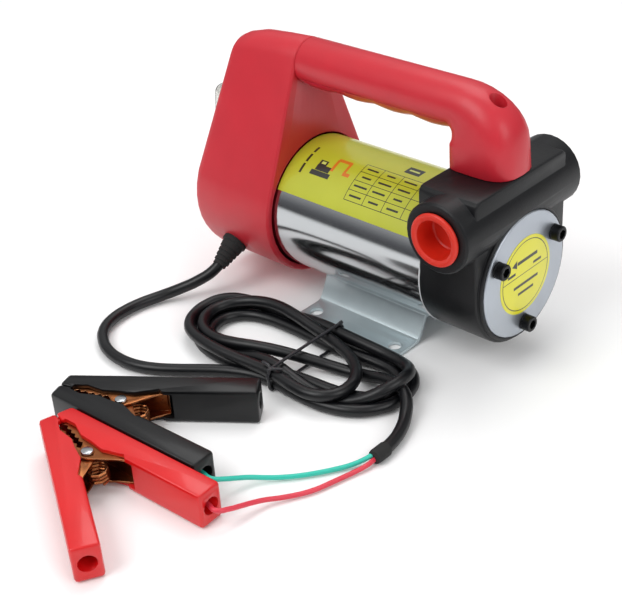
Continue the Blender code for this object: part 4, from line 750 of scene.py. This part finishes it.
@dataclass
class PowerCable:
    """The pump's lead: it leaves the housing, lies in a tied hank, and splits into two wires."""

    diameter: float = 6.8
    spacing: float = 4.0
    fence: float = -48.4
    tie_x: float = 19.3
    tied: tuple = (-105.0, -52.5)
    start: tuple = (-76.0, -46.2, 24.0)
    # one step of settling: how far the points fall in millimetres, and what share of each correction they take
    steps: int = 420
    fall: float = 0.05
    stiffness: float = 0.09
    last_stiffness: float = 0.11
    easing: float = 0.02
    tension: float = 0.25
    push: float = 0.3
    longest_push: float = 0.8
    gather: float = 0.15
    # the route from the housing down to the ground and into the hank
    lead: tuple = (
        (-78.2, -56, 16.6),
        (-83.7, -63, 11.6),
        (-90.7, -70.5, 7.4),
        (-97, -79, 4.6),
        (-101.6, -89.5, 3.6),
        (-103.8, -101, 3.5),
        (-103.5, -113, 3.5),
        (-99.7, -124.5, 3.5),
        (-90.7, -134, 3.5),
        (-78.2, -140.2, 3.5),
        (-64.7, -141.8, 3.5),
        (-51.2, -139.3, 3.5),
        (-39.2, -133.3, 3.5),
        (-27.7, -125.5, 3.8),
        (-17.2, -117.6, 5),
        (-7.7, -109.6, 6),
    )
    # each turn's right loop and left loop: apex x, middle y, radius, height
    loops: tuple = (
        ((85, -73, 23.5, 3.5), (-62, -78, 25, 7)),
        ((75, -73, 22, 11), (-50, -79, 22, 14)),
        ((82, -72, 23, 18), (-64, -79, 24, 21)),
    )
    front_loop: tuple = (
        (8, -106, 24),
        (26, -110.5, 25),
        (42, -112.5, 25),
        (54, -109, 26),
        (60.5, -98.5, 26),
        (57, -84, 27),
        (44, -71, 28),
        (28.8, -61.5, 28),
        (10, -57, 28),
    )
    last_loop: tuple = (-57, -78, 22, 29)
    tail: tuple = (
        (-14, -96, 31),
        (14, -84, 31),
        (36, -73, 29),
        (55, -68, 25),
        (71.2, -67.6, 19),
        (82, -71, 13),
        (90, -78, 8),
        (96.2, -87.7, 4.2),
        (101, -99, 3.5),
        (103.2, -110, 3.5),
        (103.4, -120, 3.5),
    )
    points: np.ndarray = field(default_factory=lambda: np.zeros((0, 3)))

    @staticmethod
    def through(route: list, spacing: float) -> np.ndarray:
        """Runs a smooth curve through the points of a route.

        Args:
            route: The points to pass.
            spacing: The distance between the points that come back.

        Returns:
            Evenly spaced points on the curve.
        """
        given = np.array([(*p, 3.5)[:3] for p in route], float)
        ends = np.vstack([2 * given[0] - given[1], given, 2 * given[-1] - given[-2]])
        fine = []
        for a, b, c, d in zip(ends, ends[1:], ends[2:], ends[3:]):
            t = np.linspace(0, 1, 24, endpoint=False)[:, None]
            fine.append(
                0.5 * (2 * b + (c - a) * t + (2 * a - 5 * b + 4 * c - d) * t**2 + (3 * b - a - 3 * c + d) * t**3)
            )
        line = np.vstack([*fine, given[-1:]])
        run = np.concatenate([[0], np.cumsum(np.linalg.norm(np.diff(line, axis=0), axis=1))])
        at = np.linspace(0, run[-1], int(round(run[-1] / spacing)) + 1)
        return np.stack([np.interp(at, run, line[:, k]) for k in range(3)], axis=1)

    def arc(self, loop: tuple, side: int) -> list:
        """Lists the points of one end loop, going round it anticlockwise from above.

        Args:
            loop: Its apex x, middle y, radius and height.
            side: 1 for a right loop and -1 for a left one.

        Returns:
            The points, in millimetres.
        """
        apex, middle, radius, height = loop
        first = -90 if side > 0 else 90
        return [
            (
                apex - side * radius + radius * math.cos(math.radians(first + step)),
                middle + radius * math.sin(math.radians(first + step)),
                height,
            )
            for step in (0, 36, 72, 108, 144, 180)
        ]

    def route(self) -> list:
        """Lists the whole route, from the housing to where the wires part.

        Returns:
            The route's points, in millimetres.
        """
        route = [self.start, *self.lead]
        for right, left in self.loops:
            route += [*self.arc(right, 1), *self.arc(left, -1)]
        return [*route, *self.front_loop, *self.arc(self.last_loop, -1), *self.tail]

    @staticmethod
    def bend(line: np.ndarray) -> np.ndarray:
        """Gives how far each point strays from an even bend through its four neighbours."""
        return line[:-4] - 4 * line[1:-3] + 6 * line[2:-2] - 4 * line[3:-1] + line[4:]

    def settle(self) -> np.ndarray:
        """Lets the cable lie down: it keeps its length, and its turns push each other aside and rest on the ground.

        Returns:
            The settled points, in millimetres.
        """
        # points that drop from the housing, that are held at each end, and that are too near to touch each other
        dropping, held_first, held_last, neighbours = 12, 40, 12, 7
        line = self.through(self.route(), self.spacing)
        rest = np.linalg.norm(np.diff(line[:, :2], axis=0), axis=1)[:, None]
        rest[:dropping] = self.spacing
        count = len(line)
        held = np.r_[0:held_first, count - held_last : count]
        pinned = line[held].copy()
        apart = np.abs(np.arange(count)[:, None] - np.arange(count)[None]) > neighbours
        for _ in range(self.steps):
            line[:, 2] -= self.fall
            for _ in range(6):
                line[2:-2] -= self.stiffness * self.bend(line)
            line[1:-1] += self.easing * ((line[:-2] + line[2:]) / 2 - line[1:-1])
            for _ in range(3):
                step = np.diff(line, axis=0)
                length = np.linalg.norm(step, axis=1)[:, None]
                move = self.tension * (length - rest) / length * step
                line[:-1] += move
                line[1:] -= move
            gap = line[:, None] - line[None]
            distance = np.linalg.norm(gap, axis=2) + 1e-9
            close = apart & (distance < self.diameter)
            push = np.where(close, (self.diameter - distance) / distance, 0)[:, :, None] * gap
            shove = push.sum(axis=1) * self.push
            size = np.linalg.norm(shove, axis=1)[:, None] + 1e-9
            line += shove * np.minimum(1, self.longest_push / size)
            line[:, 2] = np.maximum(line[:, 2], self.diameter / 2)
            near = line[:, 0] > -60
            line[near, 1] = np.minimum(line[near, 1], self.fence)
            tied = np.abs(line[:, 0] - self.tie_x) < 16
            line[tied, 1] += self.gather * (np.clip(line[tied, 1], *self.tied) - line[tied, 1])
            line[held] = pinned
        for _ in range(80):  # what is left of the kinks is eased out
            line[2:-2] -= self.last_stiffness * self.bend(line)
            line[held] = pinned
        return line

    @staticmethod
    def cord(name: str, line: np.ndarray, diameter: float, finish: Finish) -> Object:
        """Makes a round cord along a line of points.

        Args:
            name: The piece's name.
            line: Its points, in millimetres.
            diameter: Its diameter, in millimetres.
            finish: Its material.

        Returns:
            The cord, a curve of one open spline.
        """
        curve = bpy.data.curves.new(name, "CURVE")
        curve.dimensions = "3D"
        curve.bevel_depth = diameter / 2 * MM
        curve.bevel_resolution = 5
        curve.use_fill_caps = True
        curve.resolution_u = 4
        spline = curve.splines.new("BEZIER")
        spline.bezier_points.add(len(line) - 1)
        for point, place in zip(spline.bezier_points, line):
            point.co = Vector(place) * MM
            point.handle_left_type = point.handle_right_type = "AUTO"
        thing = bpy.data.objects.new(name, curve)
        bpy.context.scene.collection.objects.link(thing)
        curve.materials.append(finish.make())
        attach(thing, Body.PUMP.value)
        return thing

    def build(self) -> None:
        self.points = self.settle()
        length = np.linalg.norm(np.diff(self.points, axis=0), axis=1).sum() * MM
        LOG.info("power cable: %.3f m", length)
        last = len(self.points) - 1
        kept = np.linspace(0, last, last // 3).round().astype(int)
        cable = self.cord("power_cable", self.points[kept], self.diameter, PALETTE.jacket)
        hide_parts("cable_lead", "cable_hank", "cable_tail")
        self.collar()

    def collar(self) -> Object:
        """Turns the shrink sleeve that closes the jacket where the two wires part.

        Returns:
            The sleeve.
        """
        profile = [(-9, 3.45), (-9, 3.8), (-8.4, 4.0), (-1, 4.0), (0.2, 3.7), (0.6, 2.9), (0.6, 0.6)]
        thing = Bench.turned(profile, 48, Vector(self.tail[-1]) * MM, Axis.MINUS_Y)
        Bench.soften(thing, 0, angle=40)
        Bench.settle(thing, "jacket_end_sleeve", PALETTE.rubber, Body.PUMP)
        return thing

    def tie(self) -> None:
        """Wraps a wire tie round the strands of the hank, and twists its ends up."""
        line = self.points[45:]
        before, after = line[:-1], line[1:]
        crosses = (before[:, 0] - self.tie_x) * (after[:, 0] - self.tie_x) <= 0
        reach = self.diameter / 2 + 0.9
        spots = [
            (y + reach * math.cos(a), z + reach * math.sin(a))
            for y, z in before[crosses][:, 1:]
            for a in np.linspace(0, 2 * math.pi, 16, endpoint=False)
        ]
        hull: list = []
        for turn in (sorted(spots), sorted(spots, reverse=True)):
            side: list = []
            for p in turn:
                while len(side) > 1 and (
                    (side[-1][0] - side[-2][0]) * (p[1] - side[-2][1])
                    - (side[-1][1] - side[-2][1]) * (p[0] - side[-2][0])
                ) <= 0:
                    side.pop()
                side.append(p)
            hull += side[:-1]
        loop = [(self.tie_x, y, max(z, 0.9)) for y, z in hull]
        top = max(range(len(loop)), key=lambda i: loop[i][2] - loop[i][1] * 0.2)
        loop = loop[top:] + loop[:top]
        x, y, z = loop[0]
        ends = [(x - 7, y + 1, z + 1.2), (x - 3, y + 0.5, z + 1.5)], [(x + 2, y, z + 1), (x + 6, y + 3, z + 0.6)]
        thing = self.cord("hank_tie", self.through([*ends[0], *loop, *ends[1]], 3.0), 1.8, PALETTE.nylon)
        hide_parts("cable_tie")


@dataclass
class ClipWire:
    """One of the two insulated wires that run from the cable's end into a battery clip."""

    name: str
    node: str
    finish: Finish
    slot: str
    start: tuple
    route: tuple
    hole: tuple
    heading: tuple
    clip: str
    diameter: float = 2.6

    def build(self) -> None:
        inward = Vector(self.heading)
        end = [tuple(Vector(self.hole) + inward * reach) for reach in (6, 0, -9)]
        line = PowerCable.through([self.start, *self.route, *end], 7.0)
        wire = PowerCable.cord(self.name, line, self.diameter, self.finish)
        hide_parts(self.node)


# ---------------------------------------------------------------- pump


@dataclass
class PumpEnd:
    """The cast head with its face plate, screws, ports and caps."""

    screw_circle: float = 29.4
    screw_radius: float = 4.5
    screw_proud: float = 5.8
    sticker_radius: float = 22.6

    def screw(self) -> Object:
        """Models one socket screw's head: a chamfered cylinder with a washer groove and a six-sided socket.

        Returns:
            The screw's head, standing on the origin.
        """
        r, tall = self.screw_radius, self.screw_proud
        profile = [(0, 0), (0, r - 0.2), (0.2, r), (0.9, r), (1.0, r - 0.45), (1.5, r - 0.45), (1.6, r - 0.05)]
        profile += [(tall - 0.5, r - 0.05), (tall, r - 0.55), (tall, 0)]
        thing = Bench.turned(profile, 48, Vector(), Axis.PLUS_Z, closed=False)
        Bench.clear_selection()
        bpy.ops.mesh.primitive_cylinder_add(vertices=6, radius=2.9 * MM, depth=7 * MM, location=(0, 0, tall * MM))
        cutter = bpy.context.active_object
        cut = thing.modifiers.new("socket", "BOOLEAN")
        cut.operation, cut.solver, cut.object = "DIFFERENCE", "EXACT", cutter
        Bench.take(thing)
        bpy.ops.object.modifier_apply(modifier=cut.name)
        bpy.data.objects.remove(cutter)
        Bench.soften(thing, 0, angle=25)
        return thing

    def screws(self) -> None:
        """Sets three copies of the screw in the plate."""
        model = self.screw()
        for number, angle in enumerate((30, 150, 270), 1):
            node = f"cover_screw_{number}"
            low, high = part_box(node)
            middle = (low + high) / 2
            copy = bpy.data.objects.new(node, model.data.copy())
            bpy.context.scene.collection.objects.link(copy)
            turn = Matrix.Rotation(math.radians(angle * 0.7), 4, "Z")
            place = Vector((PLATE_FRONT_X - 0.05 * MM, middle.y, middle.z))
            copy.matrix_world = Matrix.Translation(place) @ Axis.PLUS_X.value @ turn
            Bench.settle(copy, f"socket_screw_{number}", PALETTE.screw, Body.PUMP)
            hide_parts(node)
        bpy.data.objects.remove(model)

    def sticker(self) -> None:
        """Lays the round flow sticker on the plate."""
        r = self.sticker_radius
        profile = [(0.02, 0), (0.02, r), (0.14, r), (0.16, r - 0.12), (0.16, 0)]
        thing = Bench.turned(profile, 128, Vector((PLATE_FRONT_X, 0, AXIS_HEIGHT)), Axis.PLUS_X, closed=False)
        Bench.soften(thing, 0)
        Bench.settle(thing, "flow_sticker", PALETTE.flow, Body.PUMP)

    def caps(self) -> None:
        """Moulds the two hollow port caps, with a rolled rim and a thumb recess."""
        rim, wall, bore, proud = 14.7, 2.0, 12.4, 2.2
        profile = [
            (-13.6, 0),
            (-13.6, bore - 1.2),
            (-13.0, bore - 0.5),
            (-0.2, bore - 0.15),
            (0.0, rim - 0.8),
            (0.15, rim - 0.25),
            (0.8, rim),
            (1.5, rim - 0.1),
            (2.0, rim - 0.5),
            (proud, rim - 1.1),
            (2.15, bore - wall + 1.2),
            (1.6, bore - wall + 0.5),
            (-10.6, bore - wall),
            (-11.3, bore - wall - 0.7),
            (-11.3, 0),
        ]
        for node, body, side, axis in (
            ("outlet_plug", Body.OUTLET_CAP, -1, Axis.MINUS_Y),
            ("inlet_plug", Body.INLET_CAP, 1, Axis.PLUS_Y),
        ):
            low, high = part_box(node)
            face = (low.y if side < 0 else high.y) - side * proud * MM
            thing = Bench.turned(profile, 96, Vector((PORT_X, face, PORT_Z)), axis, closed=False)
            Bench.soften(thing, 0, angle=40)
            Bench.settle(thing, node.replace("plug", "port_cap"), PALETTE.plug, body)
            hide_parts(node)

    def build(self) -> None:
        """Builds the pump end."""
        Bench.copy_node("pump_head", "head_casting", PALETTE.cast_black, 0.5)
        Bench.copy_node("cover_plate", "face_plate", PALETTE.plate, 0.25)
        self.screws()
        self.sticker()
        self.caps()


@dataclass
class MotorEnd:
    """The polished tube with its label, and the red housing with its handle and switch."""

    radius: float = 40.0
    label_low: float = 31.5
    label_high: float = 150.0

    def tube(self) -> None:
        """Turns the motor's tube, with small rounded ends."""
        low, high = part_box("motor_tube")
        long, r = (high.x - low.x) / MM, self.radius
        wall = 1.6
        profile = [(0, r - 0.5), (0.5, r), (long - 0.5, r), (long, r - 0.5), (long, r - wall), (0, r - wall)]
        thing = Bench.turned(profile, 192, Vector((low.x, 0, AXIS_HEIGHT)), Axis.PLUS_X)
        Bench.soften(thing, 0)
        Bench.settle(thing, "polished_tube", PALETTE.tube, Body.PUMP)
        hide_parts("motor_tube")

    def label(self) -> None:
        """Wraps the rating label on the near side of the tube."""
        start, end = LIP_X / MM + 0.3, HEAD_BACK_X / MM - 0.3
        Bench.clear_selection()
        bpy.ops.mesh.primitive_cylinder_add(
            vertices=360,
            radius=(self.radius + 0.05) * MM,
            depth=(end - start) * MM,
            end_fill_type="NOTHING",
            location=((start + end) / 2 * MM, 0, AXIS_HEIGHT),
            rotation=(0, math.pi / 2, 0),
        )
        thing = bpy.context.active_object
        bpy.ops.object.transform_apply(location=True, rotation=True)
        bpy.ops.object.mode_set(mode="EDIT")
        shape = bmesh.from_edit_mesh(thing.data)
        for face in shape.faces:
            middle = face.calc_center_median()
            angle = math.degrees(math.atan2(middle.z - AXIS_HEIGHT, -middle.y))
            face.select_set(not self.label_low < angle < self.label_high)
        bmesh.update_edit_mesh(thing.data)
        bpy.ops.mesh.delete(type="FACE")
        bpy.ops.object.mode_set(mode="OBJECT")
        wall = thing.modifiers.new("thickness", "SOLIDIFY")
        wall.thickness, wall.offset = 0.12 * MM, 1.0
        Bench.take(thing)
        bpy.ops.object.modifier_apply(modifier=wall.name)
        Bench.soften(thing, 0, angle=40)
        Bench.settle(thing, "rating_label", PALETTE.rating, Body.PUMP)

    def strain_relief(self) -> None:
        """Turns the ribbed rubber sleeve where the cable leaves the housing."""
        profile = [(-3.0, 3.6), (-3.0, 7.4), (1.2, 7.8), (2.0, 7.6), (2.4, 6.9), (4.0, 6.8)]
        for rib in range(4):
            z = 4.6 + rib * 3.0
            r = 6.6 - rib * 0.55
            profile += [(z, r), (z + 1.6, r - 0.1), (z + 1.9, r - 0.8), (z + 2.6, r - 0.85)]
        profile += [(17.4, 4.3), (17.8, 3.9), (17.8, 3.5)]
        heading = Vector((0, -math.cos(math.radians(33)), -math.sin(math.radians(33))))
        thing = Bench.turned(profile, 64, Vector(), Axis.PLUS_Z)
        turn = heading.to_track_quat("Z", "Y").to_matrix().to_4x4()
        thing.matrix_world = Matrix.Translation(Vector(PowerCable.start) * MM - heading * 10 * MM) @ turn
        Bench.soften(thing, 0, angle=35)
        Bench.settle(thing, "strain_relief", PALETTE.rubber, Body.PUMP)
        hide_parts("cable_grommet")

    def build(self) -> None:
        """Builds the motor end."""
        self.tube()
        self.label()
        for node, name, finish, width, slot in (
            ("rear_housing", "housing_moulding", PALETTE.shell_red, 0.5, "red_abs"),
            ("handle_shell", "handle_moulding", PALETTE.shell_red, 0.6, "red_abs"),
            ("handle_insert", "finger_grip", PALETTE.insert_red, 0.4, "red_abs"),
            ("foot_bracket", "pressed_bracket", PALETTE.zinc, 0.3, "zinc"),
            ("switch_body", "switch_bezel", PALETTE.nylon, 0.3, "black_nylon"),
            ("switch_rocker", "rocker_key", PALETTE.insert_red, 0.4, "red_abs"),
            ("switch_boot", "rocker_boot", PALETTE.vinyl, 0.0, "clear_pvc"),
        ):
            Bench.copy_node(node, name, finish, width)
        self.strain_relief()


@dataclass
class BatteryClip:
    """One battery clip: two dipped handles, two copper jaws, a rivet and a spring."""

    name: str
    finish: Finish
    slot: str

    def build(self) -> None:
        """Dresses the clip's solids."""
        for part, finish, width, slot in (
            ("fixed_shell", self.finish, 0.45, self.slot),
            ("moving_shell", self.finish, 0.45, self.slot),
            ("fixed_jaw", PALETTE.copper, 0.12, "copper"),
            ("moving_jaw", PALETTE.copper, 0.12, "copper"),
            ("spring", PALETTE.copper, 0.0, "bright_steel"),
            ("rivet", PALETTE.steel, 0.15, "bright_steel"),
        ):
            Bench.dress_node(f"{self.name}_{part}", finish, width, slot)


@dataclass
class HiddenWorks:
    """The parts inside the pump, which keep their solids and take their own finishes."""

    dressed: tuple = (
        (PALETTE.steel, ("motor_shaft", "front_bearing", "rear_bearing", "pump_rotor", "tie_bolt_1", "tie_bolt_2")),
        (PALETTE.steel, ("handle_screw", "housing_screw_1", "housing_screw_2")),
        (PALETTE.nylon, ("vane_1", "vane_2", "vane_3", "vane_4", "vane_5", "rear_end_bell")),
        (PALETTE.rubber, ("cover_o_ring", "shaft_seal")),
        (PALETTE.copper, ("armature_winding", "commutator")),
        (PALETTE.laminations, ("armature_core",)),
        (PALETTE.ferrite, ("magnet_1", "magnet_2", "brush_1", "brush_2")),
        (PALETTE.board, ("brush_plate",)),
    )

    def build(self) -> None:
        """Dresses each hidden node."""
        for finish, nodes in self.dressed:
            for node in nodes:
                slots = bpy.data.objects[node].data.materials
                slots.clear()
                slots.append(finish.make())


# ---------------------------------------------------------------- studio


@dataclass
class Studio:
    """A pale floor, a soft box on each side, and the camera."""

    azimuth: float = 44.76
    elevation: float = 31.47
    roll: float = -4.0
    distance: float = 744.55
    aim: tuple = (0.335, -53.03, 24.5)
    # the lens that fits on a sensor 36 mm wide
    lens: float = 36 * 1314.59 / 622

    def camera(self) -> None:
        """Sets the camera where the pump was seen from."""
        a, e, r = (math.radians(v) for v in (self.azimuth, self.elevation, self.roll))
        back = Vector((math.sin(a) * math.cos(e), -math.cos(a) * math.cos(e), math.sin(e)))
        right = Vector((math.cos(a), math.sin(a), 0))
        up = back.cross(right)
        side = right * math.cos(r) + up * math.sin(r)
        top = up * math.cos(r) - right * math.sin(r)
        lens = bpy.data.cameras.new("camera")
        lens.lens, lens.sensor_width, lens.sensor_fit = self.lens, 36, "HORIZONTAL"
        lens.clip_start, lens.clip_end = 0.01, 20
        camera = bpy.data.objects.new("camera", lens)
        bpy.context.scene.collection.objects.link(camera)
        place = (Vector(self.aim) + back * self.distance) * MM
        camera.matrix_world = Matrix(
            (
                (side.x, top.x, back.x, place.x),
                (side.y, top.y, back.y, place.y),
                (side.z, top.z, back.z, place.z),
                (0, 0, 0, 1),
            )
        )
        bpy.context.scene.camera = camera

    def lamp(self, name: str, place: tuple, target: tuple, size: float, power: float) -> None:
        """Hangs one soft box.

        Args:
            name: The lamp's name.
            place: Where it hangs, in metres.
            target: The point that it faces.
            size: The side of its square, in metres.
            power: Its power in watts.
        """
        light = bpy.data.lights.new(name, "AREA")
        light.shape, light.size, light.energy = "SQUARE", size, power
        lamp = bpy.data.objects.new(name, light)
        bpy.context.scene.collection.objects.link(lamp)
        lamp.location = place
        lamp.rotation_euler = (Vector(target) - Vector(place)).to_track_quat("-Z", "Y").to_euler()

    def floor(self) -> None:
        """Lays a broad pale floor under the pump."""
        Bench.clear_selection()
        bpy.ops.mesh.primitive_plane_add(size=8, location=(0, 0, -0.0006))
        floor = bpy.context.active_object
        floor.name = "studio_floor"
        material = bpy.data.materials.new("matt_white_floor")
        material.use_nodes = True
        shader = material.node_tree.nodes["Principled BSDF"]
        shader.inputs["Base Color"].default_value = linear("#FAFAFA")
        shader.inputs["Roughness"].default_value = 0.9
        shader.inputs["Specular IOR Level"].default_value = 0.1
        floor.data.materials.append(material)

    def sky(self) -> None:
        """Makes the room: white above, with a grey band low down that polished metal picks up."""
        world = bpy.data.worlds.new("studio_room")
        world.use_nodes = True
        tree = world.node_tree
        tree.nodes.clear()
        place = add(tree, "ShaderNodeTexCoord").outputs["Generated"]
        height = add(tree, "ShaderNodeSeparateXYZ", {"Vector": place}).outputs["Z"]
        ramp = add(tree, "ShaderNodeValToRGB", {"Fac": height})
        ramp.color_ramp.elements[0].color = (0.12, 0.12, 0.13, 1)
        ramp.color_ramp.elements[1].position = 0.45
        ramp.color_ramp.elements[1].color = (1, 1, 1, 1)
        middle = ramp.color_ramp.elements.new(0.16)
        middle.color = (0.3, 0.3, 0.32, 1)
        light = add(tree, "ShaderNodeBackground", {"Color": ramp.outputs["Color"], "Strength": 0.6})
        add(tree, "ShaderNodeOutputWorld", {"Surface": light.outputs[0]})
        bpy.context.scene.world = world

    def build(self) -> None:
        """Lights the floor and the pump."""
        self.floor()
        self.sky()
        self.lamp("key_box", (-0.25, -1.1, 1.25), (0, -0.05, 0.05), 0.9, 11.5)
        self.lamp("fill_box", (1.35, -0.15, 0.8), (0, -0.05, 0.05), 0.8, 5.5)
        self.lamp("top_box", (-0.3, 0.5, 1.5), (0, 0, 0.05), 1.0, 8.5)
        bpy.context.scene.view_settings.view_transform = "Standard"


def main() -> None:
    """Builds the pump's looks, piece by piece."""
    logging.basicConfig(level=logging.INFO, format="%(message)s")
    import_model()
    studio = Studio()
    studio.camera()
    cable = PowerCable()
    cable.build()
    cable.tie()
    clips = (
        BatteryClip("red_clip", PALETTE.clip_red, "red_vinyl"),
        BatteryClip("black_clip", PALETTE.clip_black, "black_vinyl"),
    )
    for clip in clips:
        clip.build()
    wires = (
        ClipWire(
            "positive_wire",
            "red_wire",
            PALETTE.red_wire,
            "red_pvc",
            (103.4, -119, 2.4),
            (
                (103.4, -127, 2.2),
                (101.2, -134, 1.5),
                (98.4, -144.6, 1.5),
                (94.8, -156.5, 1.5),
                (88.7, -167.8, 1.9),
                (82.6, -179.5, 4),
            ),
            (72.13, -201.64, 10),
            (0.99854, 0.05408, 0),
            "red_clip",
        ),
        ClipWire(
            "negative_wire",
            "green_wire",
            PALETTE.green_wire,
            "green_pvc",
            (102.0, -119, 4.2),
            (
                (98.8, -127, 2.4),
                (94.8, -133.5, 1.5),
                (89.2, -142.6, 1.5),
                (81.9, -152.3, 1.5),
                (73.6, -161.4, 1.9),
                (66, -170.4, 4),
            ),
            (53.10, -187.29, 10),
            (0.99834, 0.05756, 0),
            "black_clip",
        ),
    )
    for wire in wires:
        wire.build()
    for piece in (PumpEnd(), MotorEnd(), HiddenWorks()):
        piece.build()
        LOG.info("%s done", type(piece).__name__)
    studio.build()
    Bench.clear_selection()


if __name__ == "__main__":
    main()
